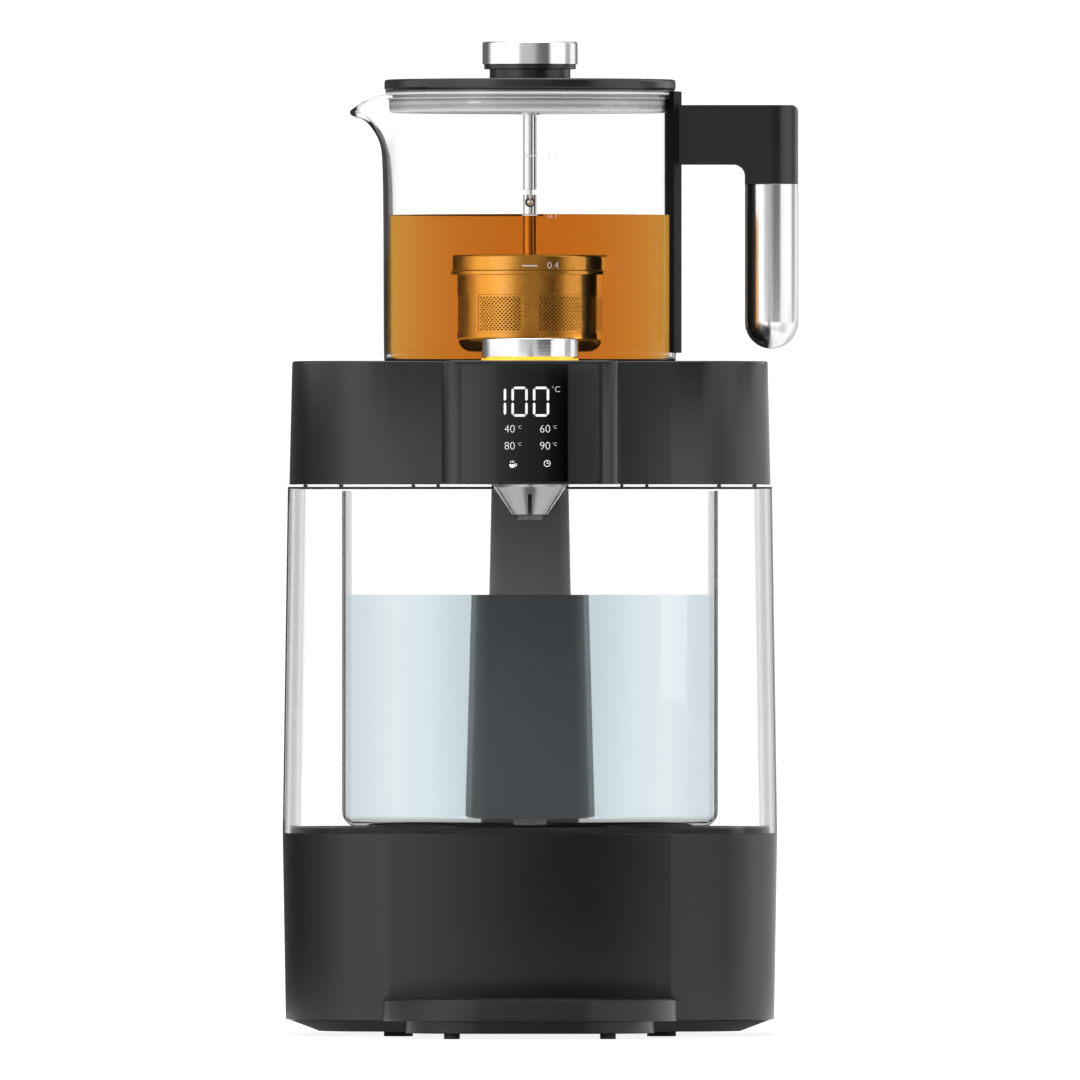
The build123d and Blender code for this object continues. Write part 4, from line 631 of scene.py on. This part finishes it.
def wrap_outline(points, low, high):
    """Draw a closed outline as a circle of points, moved to their places, and raise it to a solid."""
    deselect()
    bpy.ops.mesh.primitive_circle_add(vertices=len(points), radius=1.0, fill_type="NGON",
                                      location=(0, 0, low))
    obj = bpy.context.object
    for point, place in zip(obj.data.vertices, points):
        point.co = (place[0], place[1], 0)
    edit(obj, "FACE")
    bpy.ops.mesh.select_all(action="SELECT")
    bpy.ops.mesh.extrude_region_move(TRANSFORM_OT_translate={"value": (0, 0, high - low)})
    bpy.ops.mesh.select_all(action="SELECT")
    bpy.ops.mesh.normals_make_consistent(inside=False)
    bpy.ops.object.mode_set(mode="OBJECT")
    return obj


def arc(centre, radius, start, end, steps):
    """Points along an arc, in degrees."""
    angles = [math.radians(start + (end - start) * i / steps) for i in range(steps + 1)]
    return [(centre[0] + radius * math.cos(a), centre[1] + radius * math.sin(a)) for a in angles]


def tank_outline(inset):
    """Half of the tank's outline is drawn, then mirrored: bow, edge arc, side and back corner."""
    half = (tank_high.x - tank_low.x) / 2 - inset
    back = tank_high.y - inset
    bow = BOW_R - inset
    bow_y = tank_low.y + BOW_R
    edge = TANK_EDGE_R - inset
    edge_x = half - edge
    edge_y = bow_y - math.sqrt((bow - edge) ** 2 - edge_x ** 2)
    touch = math.degrees(math.atan2(edge_y - bow_y, edge_x))
    corner = TANK_BACK_R - inset
    points = arc((0, bow_y), bow, -90, touch, 24)
    points += arc((edge_x, edge_y), edge, touch, 0, 10)[1:]
    points += arc((half - corner, back - corner), corner, 0, 90, 8)
    mirrored = [(-x, y) for x, y in reversed(points[1:])]
    shift = (tank_low.x + tank_high.x) / 2
    return [(x + shift, y) for x, y in points + mirrored]


water = wrap_outline(tank_outline(TANK_WALL + FILM), water_low, WATER_TOP)
edit(water, "EDGE")
pick(water, lambda p: p.z < (WATER_TOP - water_low) * 0.01, "EDGE")
bpy.ops.mesh.bevel(offset=WATER_EDGE, segments=3)
water = finished(water, "water", "machine")

# %% [markdown]
# Water is clear with a faint blue. The two walls in front of it bend light as well, so its index is set a
# little lower than real water's 1.33, until the column behind it is as much wider as it should be. A ramp
# on the angle keeps the middle deeper and the bowed sides lighter.

# %% Finish the water
water_look = Finish("water", Transmission_Weight=1.0, IOR=1.2, Roughness=0.0)
depth = ((0.0, (0.52, 0.61, 0.65, 1)), (0.05, (0.56, 0.65, 0.7, 1)), (0.12, (0.83, 0.92, 0.98, 1)),
         (0.22, (0.97, 1.0, 1.0, 1)), (0.35, (0.72, 0.8, 0.84, 1)), (0.6, (0.55, 0.62, 0.65, 1)))
water_look.feed("Base Color", water_look.ramp(depth, water_look.facing()))
dress(water, water_look)
water.visible_shadow = False

# %% [markdown]
# ## The jug
#
# Glass is invisible face on and dark where it is seen along its wall. Its rim was cut and melted smooth, and
# light that enters there stays in the wall, so the rim shows as a grey line. It gets a glass of its own. The
# very tip of the spout is a thick drop of glass, and nearly black.

# %% Glass of the jug and of its rim
SPOUT_REACH = 15.1 * MM
DROP = 4.2 * MM             # how far the dark drop reaches back from the tip
jug_clear = clear("jug_clear", 1.1, ((0, 1.0), (0.6, 1.0), (0.68, 0.97), (0.735, 0.85), (0.76, 0.1),
                                     (1, 0.05)))
rim_clear = clear("rim_clear", 1.1, ((0, 0.75), (0.5, 0.55), (1, 0.2)))
tip_x = JUG_AXIS.x - JUG_R - SPOUT_REACH
for glass in (jug_clear, rim_clear):
    colour = Signal(glass, glass.shader.inputs["Base Color"].links[0].from_socket)
    glass.feed("Base Color", colour * glass.along(0, tip_x + DROP * 0.6, tip_x + DROP, 0.04))

# %% [markdown]
# The jug is blown glass: a straight wall, a rounded foot and a spout that was pulled out of the rim while
# it was hot. It is modelled the same way. A cylinder loses its top, gets rings of points where the glass
# was pulled, and its rim is pulled out with a soft falloff. A wall and a subdivision finish it.

# %% Model the jug's glass
SPOUT_DROP = 7.0 * MM
SPOUT_SPREAD = 24.0 * MM
SPOUT_HALF = 3.5 * MM       # half the width that is gripped to pull it
SPOUT_DEEP = 6.0 * MM       # and how far below the rim
RIM_ROUND = 0.9 * MM
PULL_RINGS = (30, 22, 18, 14, 11, 8, 5.5, 3, 1.2)       # below the rim, in millimetres
jug_height = RIM - JUG_LOW

jug = cylinder(JUG_R, JUG_LOW, RIM, 64, "NGON")
edit(jug, "FACE")
pick(jug, lambda p: p.z > jug_height * 0.49, "FACE")
bpy.ops.mesh.delete(type="FACE")
pick(jug, lambda p: p.z < -jug_height * 0.49, "FACE")
bpy.ops.mesh.inset(thickness=JUG_FOOT_R * 1.6)
bpy.ops.mesh.inset(thickness=JUG_R * 0.35)
pick(jug, lambda p: p.z < -jug_height * 0.49 and math.hypot(p.x, p.y) > JUG_R * 0.98, "EDGE")
bpy.ops.mesh.bevel(offset=JUG_FOOT_R, segments=4)
for drop in PULL_RINGS:
    bpy.ops.mesh.select_all(action="SELECT")
    bpy.ops.mesh.bisect(plane_co=(0, 0, RIM - drop * MM), plane_no=(0, 0, 1))
pulled = pick(jug, lambda p: p.z > jug_height / 2 - SPOUT_DEEP and p.x < 0 and abs(p.y) < SPOUT_HALF)
bpy.ops.transform.translate(value=(-SPOUT_REACH, 0, 0), use_proportional_edit=True,
                            proportional_edit_falloff="SHARP", proportional_size=SPOUT_SPREAD)
print("points pulled", pulled)
pick(jug, lambda p: p.z > jug_height / 2 - 0.1 * MM and p.x < -JUG_R - SPOUT_REACH * 0.9)
bpy.ops.transform.translate(value=(0, 0, -SPOUT_DROP), use_proportional_edit=True,
                            proportional_edit_falloff="SHARP", proportional_size=SPOUT_SPREAD * 0.8)
bpy.ops.object.mode_set(mode="OBJECT")
for finish in (jug_clear, rim_clear):
    jug.data.materials.append(finish.material)
modify(jug, "SOLIDIFY", thickness=GLASS_T, offset=-1.0, use_even_offset=True, material_offset_rim=1)
modify(jug, "BEVEL", width=RIM_ROUND, segments=2, limit_method="ANGLE", angle_limit=math.radians(60),
       material=1)
modify(jug, "SUBSURF", levels=2, render_levels=2)
jug = finished(jug, "jug_wall", "jug", smooth=60)
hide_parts("jug_glass")
jug.visible_shadow = False

# %% [markdown]
# ## The tea
#
# The tea is a plain filled shape inside the glass: a cylinder with the same rounded foot. Its colour is a
# volume, so a longer way through it is a deeper amber.

# %% Model the tea
TEA_TOP = 368.6 * MM
bore = JUG_R - GLASS_T - FILM
tea_low = JUG_LOW + JUG_FLOOR_T + FILM
tea_height = TEA_TOP - tea_low
tea = cylinder(bore, tea_low, TEA_TOP, 128, "NGON")
edit(tea, "EDGE")
pick(tea, lambda p: p.z < -tea_height * 0.49, "EDGE")
bpy.ops.mesh.bevel(offset=JUG_FOOT_R, segments=6)
tea = finished(tea, "tea", "jug")

# %% Finish the tea
tea_look = Finish("tea", Transmission_Weight=1.0, IOR=1.02, Roughness=0.0)
steep = tea_look.noise(14, 2.0)
tea_look.vary(steep, (0.57, 0.37, 0.08, 1), (0.61, 0.41, 0.1, 1))
tea_look.murky((0.9, 0.535, 0.13, 1), 20.0)
dress(tea, tea_look)
tea.visible_shadow = False

# %% [markdown]
# ## Marks on the jug
#
# Filling marks are printed on the glass in white: a stroke and a number for each level. A stroke follows the
# glass, so it is a slice of a cylinder. A number is so small that it may stay flat, turned to face outwards.

# %% Print the marks
MARK_LEVELS = ((394.65, "1.0"), (368.1, "0.7"), (345.4, "0.4"))
MARK_HALF = 3.5             # half the stroke's width, in degrees
NUMBER_TURN = 9.0
NUMBER_SIZE = 4.4 * MM
STROKE = 0.5                # in millimetres, as the levels are
INK = 0.03 * MM
THIN = 0.02                 # how far strokes are thinned, as a share of the size


def written(words, size, depth):
    """Words as a mesh that lies flat, with their middle at the origin and their strokes made thinner."""
    deselect()
    bpy.ops.object.text_add()
    obj = bpy.context.object
    obj.data.body = words
    obj.data.size = size
    obj.data.offset = -THIN * size
    obj.data.extrude = depth / 2
    obj.data.align_x = "CENTER"
    obj.data.align_y = "CENTER"
    bpy.ops.object.convert(target="MESH")
    return bpy.context.object


def joined(pieces):
    """Several objects made one, with their places applied."""
    deselect()
    for piece in pieces:
        piece.select_set(True)
    bpy.context.view_layer.objects.active = pieces[0]
    bpy.ops.object.transform_apply()
    if len(pieces) > 1:
        bpy.ops.object.join()
    return bpy.context.object


marks = []
for level, words in MARK_LEVELS:
    stroke = cylinder(JUG_R + INK, (level - STROKE / 2) * MM, (level + STROKE / 2) * MM, 360)
    edit(stroke, "FACE")
    pick(stroke, lambda p: abs(math.degrees(math.atan2(p.x, -p.y))) > MARK_HALF, "FACE")
    bpy.ops.mesh.delete(type="FACE")
    modify(stroke, "SOLIDIFY", thickness=INK, offset=1.0)
    marks.append(stroke)
    number = written(words, NUMBER_SIZE, INK)
    turn = math.radians(NUMBER_TURN)
    reach = JUG_R + 2 * INK
    number.rotation_euler = (math.radians(90), 0, turn)
    number.location = (JUG_AXIS.x + reach * math.sin(turn), JUG_AXIS.y - reach * math.cos(turn), level * MM)
    marks.append(number)
jug_marks = finished(joined(marks), "jug_marks", "jug")

# %% Finish the marks
ink_white = Finish("ink_white", Base_Color=grey(0.75), Roughness=0.5)
print_grain = ink_white.noise(6000, 2.0)
ink_white.vary(print_grain, 0.66, 0.8)
dress(jug_marks, ink_white)

# %% [markdown]
# ## The perforated basket
#
# Tea leaves stay in a steel cup whose wall has seven panels of fine holes. The holes of such a sheet are
# staggered, so one panel starts as a curved sheet of small faces, every second one is inset and cut out in
# the pattern of a chess board, and a subdivision turns the square holes round. Six copies complete the ring.

# %% Model the perforated panels
PANELS = 7
PANEL_TURN = 40.0           # degrees that one panel spans
PANEL_COLUMNS = 24
PANEL_ROWS = 19
PANEL_T = 0.4 * MM
panel_low, panel_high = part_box("basket_panels")
panel_r = (panel_high.x - panel_low.x) / 2
panel_height = panel_high.z - panel_low.z
first_turn = -90 - 180 / PANELS
step = PANEL_TURN / PANEL_COLUMNS
row_height = panel_height / PANEL_ROWS
panel = cylinder(panel_r, panel_low.z, panel_high.z, round(360 / step))
edit(panel, "FACE")
pick(panel, lambda p: abs(math.degrees(math.atan2(p.y, p.x))) > PANEL_TURN / 2, "FACE")
bpy.ops.mesh.delete(type="FACE")
for row in range(1, PANEL_ROWS):
    bpy.ops.mesh.select_all(action="SELECT")
    bpy.ops.mesh.bisect(plane_co=(0, 0, panel_low.z + row * row_height), plane_no=(0, 0, 1))


def hole_here(place):
    """True on every second face of the panel, as on a chess board, except its border."""
    column = math.floor((math.degrees(math.atan2(place.y, place.x)) + PANEL_TURN / 2) / step)
    row = math.floor((place.z + panel_height / 2) / row_height)
    inside = 0 < column < PANEL_COLUMNS - 1 and 0 < row < PANEL_ROWS - 1
    return inside and (column + row) % 2 == 0


holes = pick(panel, hole_here, "FACE")
bpy.ops.mesh.inset(thickness=0.02 * MM, use_individual=True)
bpy.ops.mesh.delete(type="FACE")
modify(panel, "SUBSURF", levels=1, render_levels=1)
modify(panel, "SOLIDIFY", thickness=PANEL_T, offset=-1.0)
print("holes in a panel", holes)

panels = [panel]
while len(panels) < PANELS:
    copy = panel.copy()
    copy.data = panel.data.copy()
    bpy.context.scene.collection.objects.link(copy)
    panels.append(copy)
for order, copy in enumerate(panels):
    copy.rotation_euler = (0, 0, math.radians(first_turn + 360 / PANELS * order))
sieve = finished(joined(panels), "basket_sieve", "cup")
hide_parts("basket_panels")
dress(sieve, cup_steel)

# %% [markdown]
# Behind the holes a sleeve of fine mesh keeps the dust of the leaves back. It is a plain tube with a rolled
# lip, and so dark that every hole in front of it reads as a dot.

# %% Model the mesh sleeve
SLEEVE_GAP = 0.7 * MM
SLEEVE_PAST = 1.5 * MM      # past the panels, above and below
sleeve = cylinder(panel_r - PANEL_T - SLEEVE_GAP, panel_low.z - SLEEVE_PAST, panel_high.z + SLEEVE_PAST, 96)
edit(sleeve)
pick(sleeve, lambda p: p.z > 0)
bpy.ops.mesh.extrude_region_move(TRANSFORM_OT_translate={"value": (0, 0, 0.4 * MM)})
bpy.ops.transform.resize(value=(0.985, 0.985, 1))
modify(sleeve, "SOLIDIFY", thickness=0.15 * MM, offset=-1.0)
sleeve = finished(sleeve, "basket_sleeve", "cup")

# %% Finish the mesh sleeve
fine_mesh = Finish("fine_mesh", Metallic=0.8, Roughness=0.6)
weave = fine_mesh.node("ShaderNodeTexVoronoi", {}, Vector=fine_mesh.place(), Scale=2600.0)
fine_mesh.vary(weave, 0.02, 0.07)
fine_mesh.relief(weave, 0.05 * MM)
dress(sleeve, fine_mesh)

# %% [markdown]
# ## The lit display
#
# The display shows the heat of the water in three big digits, each made of short bars that don't quite meet.
# Four smaller numbers beneath are the heats to choose from, and two signs stand for keeping warm and for the
# timer. All of them shine through the window, so they are thin plates of light on its front.

# %% Bars of the big digits
GLOW = 0.05 * MM
FRONT = sheet_low.y - 0.6 * GLOW
BAR_W = 1.1                 # all sizes of the display are in millimetres, from the middle of the body
DIGIT_W = 6.15
DIGIT_PITCH = 9.6
DIGIT_HALF = 5.8            # half the height of the uprights
DIGIT_LEVEL = 284.3         # the middle of the big digits, above the ground
FIRST_DIGIT = -17.3
SPLIT = 0.45                # half the gap between an upper and a lower bar
FLAT_OUT = 0.35             # a flat bar lies past the ends of the uprights
FLAT_IN = 0.4               # and is a little shorter than the digit is wide


def on_window(across, level):
    """A place on the window's front, from the middle of the body and from the ground."""
    return Vector((body_middle.x + across * MM, FRONT, level * MM))


def bar(start, end, width=BAR_W, taper=0.25):
    """A thin bar between two places on the window. Its ends taper."""
    first, last = on_window(*start), on_window(*end)
    along = last - first
    wide = width * MM
    straight = along.length - wide
    deselect()
    bpy.ops.mesh.primitive_plane_add(size=1.0)
    obj = bpy.context.object
    obj.scale = (straight, wide, 1)
    bpy.ops.object.transform_apply(location=False, rotation=False, scale=True)
    edit(obj, "EDGE")
    for side in (-1, 1):
        pick(obj, lambda p: p.x * side > straight * 0.49, "EDGE")
        bpy.ops.mesh.extrude_region_move(TRANSFORM_OT_translate={"value": (side * wide / 2, 0, 0)})
        bpy.ops.transform.resize(value=(1, taper, 1))
    modify(obj, "SOLIDIFY", thickness=GLOW, offset=0.0)
    obj.rotation_euler = (math.radians(90), -math.atan2(along.z, along.x), 0)
    obj.location = (first + last) / 2
    return obj


def digit(left, words):
    """A big digit out of bars: its uprights and, for a nought, its flats."""
    right = left + DIGIT_W
    for across in (right,) if words == "1" else (left, right):
        for side in (-1, 1):
            near, far = [DIGIT_LEVEL + side * reach for reach in (SPLIT, DIGIT_HALF)]
            lights.append(bar((across, near), (across, far)))
    if words == "0":
        for side in (-1, 1):
            level = DIGIT_LEVEL + side * (DIGIT_HALF + FLAT_OUT)
            lights.append(bar((left + FLAT_IN, level), (right - FLAT_IN, level)))


lights = []
for place, words in enumerate("100"):
    digit(FIRST_DIGIT + DIGIT_PITCH * place, words)
print("bars", len(lights))

# %% Numbers and signs
NUMBER_COLUMNS = (-9.05, 6.75)
NUMBER_LEVELS = (272.0, 264.4)
NUMBERS = (("40", "60"), ("80", "90"))
NUMBER_H, UNIT_H, BIG_UNIT_H = 5.0, 2.1, 3.7


def lit_words(words, across, level, size):
    """Words that shine on the window."""
    number = written(words, size * MM, GLOW)
    number.rotation_euler = (math.radians(90), 0, 0)
    number.location = on_window(across, level)
    lights.append(number)


lit_words("°C", 11.6, 289.7, BIG_UNIT_H)
for level, row in zip(NUMBER_LEVELS, NUMBERS):
    for across, words in zip(NUMBER_COLUMNS, row):
        lit_words(words, across, level, NUMBER_H)
        lit_words("°C", across + 4.25, level + 0.85, UNIT_H)


def ring_sign(across, level, radius, thick):
    """A thin ring on the window."""
    deselect()
    bpy.ops.mesh.primitive_torus_add(major_radius=radius * MM, minor_radius=thick * MM, major_segments=32,
                                     minor_segments=6, location=on_window(across, level),
                                     rotation=(math.radians(90), 0, 0))
    obj = bpy.context.object
    obj.scale = (1, 1, GLOW / (thick * MM) / 2)
    return obj


CUP_X, CUP_LEVEL, CUP_R = -7.9, 256.1, 1.35
CLOCK_X, CLOCK_LEVEL, CLOCK_R = 7.7, 256.7, 1.35
deselect()
bpy.ops.mesh.primitive_circle_add(vertices=32, radius=CUP_R * MM, fill_type="NGON")
cup_sign = bpy.context.object
edit(cup_sign, "FACE")
bpy.ops.mesh.select_all(action="SELECT")
bpy.ops.mesh.bisect(plane_co=(0, 0.35 * MM, 0), plane_no=(0, 1, 0), clear_outer=True)
modify(cup_sign, "SOLIDIFY", thickness=GLOW, offset=0.0)
cup_sign.rotation_euler = (math.radians(90), 0, 0)
cup_sign.location = on_window(CUP_X, CUP_LEVEL)
lights += [cup_sign, ring_sign(CUP_X + 1.45, CUP_LEVEL - 0.1, 0.55, 0.14),
           ring_sign(CLOCK_X, CLOCK_LEVEL, CLOCK_R, 0.16),
           bar((CLOCK_X, CLOCK_LEVEL - 0.13), (CLOCK_X, CLOCK_LEVEL + 1.0), 0.27, 1.0),
           bar((CLOCK_X - 0.13, CLOCK_LEVEL), (CLOCK_X + 0.85, CLOCK_LEVEL), 0.27, 1.0)]
lights += [bar((CUP_X + puff, CUP_LEVEL + 0.85), (CUP_X + puff, CUP_LEVEL + 1.9), 0.27, 0.6)
           for puff in (-0.7, 0, 0.7)]
display_lights = finished(joined(lights), "display_lights", "machine")

# %% Finish the lights
lit_white = Finish("lit_white", Base_Color=grey(0.1), Roughness=0.3, Emission_Strength=1.0)
spread = lit_white.noise(1500, 1.0)
lit_white.feed("Emission Color", lit_white.mix(spread, grey(0.85), grey(1.0)))
dress(display_lights, lit_white)

# %% [markdown]
# ## The stage
#
# A pale floor and a white background. Lamps light the object at a plain level: the background is white
# because the world says so to the camera, to mirrors and to clear things, and not because of more light.

# %% Floor and world
ROOM_SEEN = 1.1
ROOM_LIGHT = 0.55           # what the white background gives as light
FLOOR_SEEN = 0.8


def shine(tree, socket, seen, unseen):
    """Feed a strength for rays that see it, in a mirror or through glass too, and one for the rest."""
    path = tree.nodes.new("ShaderNodeLightPath")
    looks = path.outputs["Is Camera Ray"]
    for ray in ("Is Glossy Ray", "Is Transmission Ray"):
        either = tree.nodes.new("ShaderNodeMath")
        either.operation = "MAXIMUM"
        tree.links.new(looks, either.inputs[0])
        tree.links.new(path.outputs[ray], either.inputs[1])
        looks = either.outputs[0]
    strength = tree.nodes.new("ShaderNodeMapRange")
    strength.inputs["To Min"].default_value = unseen
    strength.inputs["To Max"].default_value = seen
    tree.links.new(looks, strength.inputs["Value"])
    tree.links.new(strength.outputs[0], socket)


world = bpy.data.worlds.new("studio")
bpy.context.scene.world = world
world.use_nodes = True
sky = world.node_tree.nodes["Background"]
sky.inputs["Color"].default_value = grey(1.0)
shine(world.node_tree, sky.inputs["Strength"], ROOM_SEEN, ROOM_LIGHT)

deselect()
bpy.ops.mesh.primitive_plane_add(size=60.0)
floor = bpy.context.object
floor.name = "floor"
floor_look = Finish("floor", Base_Color=grey(0.5), Roughness=0.9, Emission_Color=grey(1.0))
shine(floor_look.tree, floor_look.shader.inputs["Emission Strength"], FLOOR_SEEN, 0.0)
floor.data.materials.append(floor_look.material)

# %% [markdown]
# Chrome shows the room, so the room is part of the finish. A product studio hangs dark and grey cloths round
# a bright object, and their reflections give chrome its bands and black plastic its soft shading. Here they
# are rings, one above the other, whose brightness changes round the object. Only reflections see them: they
# cast no shadow and hide nothing. The last two are for the basket and the rod alone, whose reflections reach
# the room through tea and glass.

# %% Cloths round the object
RING_R = 0.45
RING_LOW, RING_HIGH = -0.1, 0.8
RING_SPLIT = 0.302          # between the plastic below and the chrome above
BASE_TOP = 0.2              # the base's cloth ends below the head
BASE_CLOTH = ((-180, 0.12), (-108, 0.14), (-80, 0.5), (-49, 1.25), (-12, 1.45), (-8.9, 1.35), (-6.6, 1.1),
              (-4.3, 0.76), (-2.0, 0.47), (0.5, 0.06), (4.8, 0.0), (6.0, 0.28), (7.0, 0.75), (7.6, 1.05),
              (9, 1.08), (48, 1.06), (63, 0.75), (78, 1.1), (95, 1.45), (130, 0.8), (180, 0.6))
HEAD_CLOTH = ((-180, 0.12), (-108, 0.14), (-80, 0.55), (-49, 1.35), (-37, 1.5), (-28, 1.75), (-10, 1.9),
              (-5.6, 1.6), (-4.6, 1.1), (-3.0, 0.9), (-2.0, 0.4), (0.2, 0.25), (0.6, 0.0), (4.2, 0.0),
              (5.4, 0.55), (6.6, 1.25), (7.8, 1.75), (25, 1.8), (42, 1.6), (52, 1.2), (63, 0.9), (78, 1.15),
              (95, 1.5), (130, 0.8), (180, 0.6))
CHROME_CLOTH = ((-180, 0.15), (-124, 0.15), (-118, 0.4), (-109, 1.3), (-31, 1.3), (-25, 0.64), (8, 0.6),
                (18, 0.3), (24, 0.2), (49, 0.12), (53, 1.3), (95, 1.3), (99, 0.42), (114, 0.46), (119, 1.2),
                (139, 1.2), (143, 0.4), (160, 0.15), (180, 0.15))
DIAL_TOP = 0.32             # the dial stands nearer to the ring, so it needs its own angles
DIAL_CLOTH = ((-180, 0.15), (-130, 0.16), (-114, 0.3), (-108, 0.5), (-96, 1.3), (-28, 1.3), (-22, 0.96),
              (-16, 0.71), (-10, 0.62), (7, 0.6), (12.5, 0.46), (18, 0.08), (38, 0.05), (42, 0.05), (44, 1.3),
              (78, 1.3), (83, 0.4), (101, 0.4), (108, 1.2), (118, 1.2), (132, 0.58), (180, 0.15))
BASKET_TOP = 0.372
BASKET_CLOTH = ((-180, 0.15), (-140, 0.15), (-126, 0.3), (-108, 1.0), (-88, 2.2), (-59, 2.3), (-34, 1.5),
                (-10, 0.6), (13, 0.5), (37, 0.12), (50, 0.4), (63, 1.3), (93, 1.2), (115, 0.7), (136, 1.6),
                (180, 1.0))
CLOTH_WHITE = 2.4           # the brightest that a cloth gets


def cloth(name, low, high, shades, inside=False):
    """A ring of cloth, with its brightness given at angles from the front, that shows inside glass or not."""
    obj = cylinder(RING_R, low, high, 180, axis=Vector((0, 0)))
    obj.name = name
    look = Finish(name, Base_Color=grey(0.0), Roughness=1.0, Specular_IOR_Level=0.0,
                  Emission_Strength=CLOTH_WHITE)
    x, y = [look.node("ShaderNodeSeparateXYZ", {}, look.place(), output=i) for i in range(2)]
    turn = look.math("ARCTAN2", x, y * -1.0) * (0.5 / math.pi) + 0.5
    stops = [((angle + 180) / 360, shade / CLOTH_WHITE) for angle, shade in shades]
    look.feed("Emission Color", look.ramp(stops, turn))
    mirrored = look.node("ShaderNodeLightPath", {}, output="Glossy Depth")
    look.feed("Alpha", look.math("GREATER_THAN", mirrored, 0.5))
    obj.data.materials.append(look.material)
    obj.visible_camera = obj.visible_diffuse = obj.visible_shadow = False
    obj.visible_transmission, obj.visible_glossy = inside, not inside


cloth("base_cloth", RING_LOW, BASE_TOP, BASE_CLOTH)
cloth("head_cloth", BASE_TOP, RING_SPLIT, HEAD_CLOTH)
cloth("dial_cloth", RING_SPLIT, DIAL_TOP, DIAL_CLOTH)
cloth("chrome_cloth", DIAL_TOP, RING_HIGH, CHROME_CLOTH)
cloth("basket_cloth", RING_SPLIT, BASKET_TOP, BASKET_CLOTH, inside=True)
cloth("rod_cloth", BASKET_TOP, RING_HIGH, CHROME_CLOTH, inside=True)

# %% [markdown]
# Black cards lie under the base and the tray for the same reason: without them the bottom edges would mirror
# the pale floor. They are painted shade: the floor's shade under the machine, as a dark sheet that
# reflections and bounced light see. The camera and the clear walls don't see them.

# %% Cards of painted shade under the machine
# a dark sheet of painted shade, faintly lit by its own emission
shade_card_look = Finish("painted_shade_card", Base_Color=grey(0.02), Roughness=1.0, Specular_IOR_Level=0.0,
                   Emission_Color=grey(0.15), Emission_Strength=1.0)
CARD_LIFT = 0.2 * MM
CARD_AHEAD = 80 * MM        # how far the tray's card reaches towards the camera
for name, ahead in (("base_shell", 0), ("tray_body", CARD_AHEAD)):
    low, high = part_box(name)
    low.y -= ahead
    centre = (low + high) / 2
    deselect()
    bpy.ops.mesh.primitive_plane_add(size=1.0, location=(centre.x, centre.y, CARD_LIFT))
    card = bpy.context.object
    card.scale = (high.x - low.x, high.y - low.y, 1)
    card.name = "under_" + name
    card.data.materials.append(shade_card_look.material)
    card.visible_camera = card.visible_transmission = card.visible_shadow = False

# %% [markdown]
# Three soft lamps stand in front on the left, on the right and above.

# %% Lamps
CENTRE = Vector((0, 0.04, 0.22))


def softbox(name, place, width, height, power):
    """A rectangular lamp that looks at the middle of the machine."""
    lamp = bpy.data.objects.new(name, bpy.data.lights.new(name, "AREA"))
    bpy.context.scene.collection.objects.link(lamp)
    lamp.data.shape = "RECTANGLE"
    lamp.data.size = width
    lamp.data.size_y = height
    lamp.data.energy = power
    lamp.location = place
    lamp.rotation_euler = (CENTRE - Vector(place)).to_track_quat("-Z", "Y").to_euler()
    return lamp


softbox("key", (-1.3, -1.3, 0.9), 0.8, 1.2, 14)
softbox("fill", (1.5, -0.2, 0.5), 0.5, 1.2, 9)
softbox("top", (0, 0.1, 1.8), 1.2, 1.2, 10)
bpy.context.scene.view_settings.view_transform = "Standard"
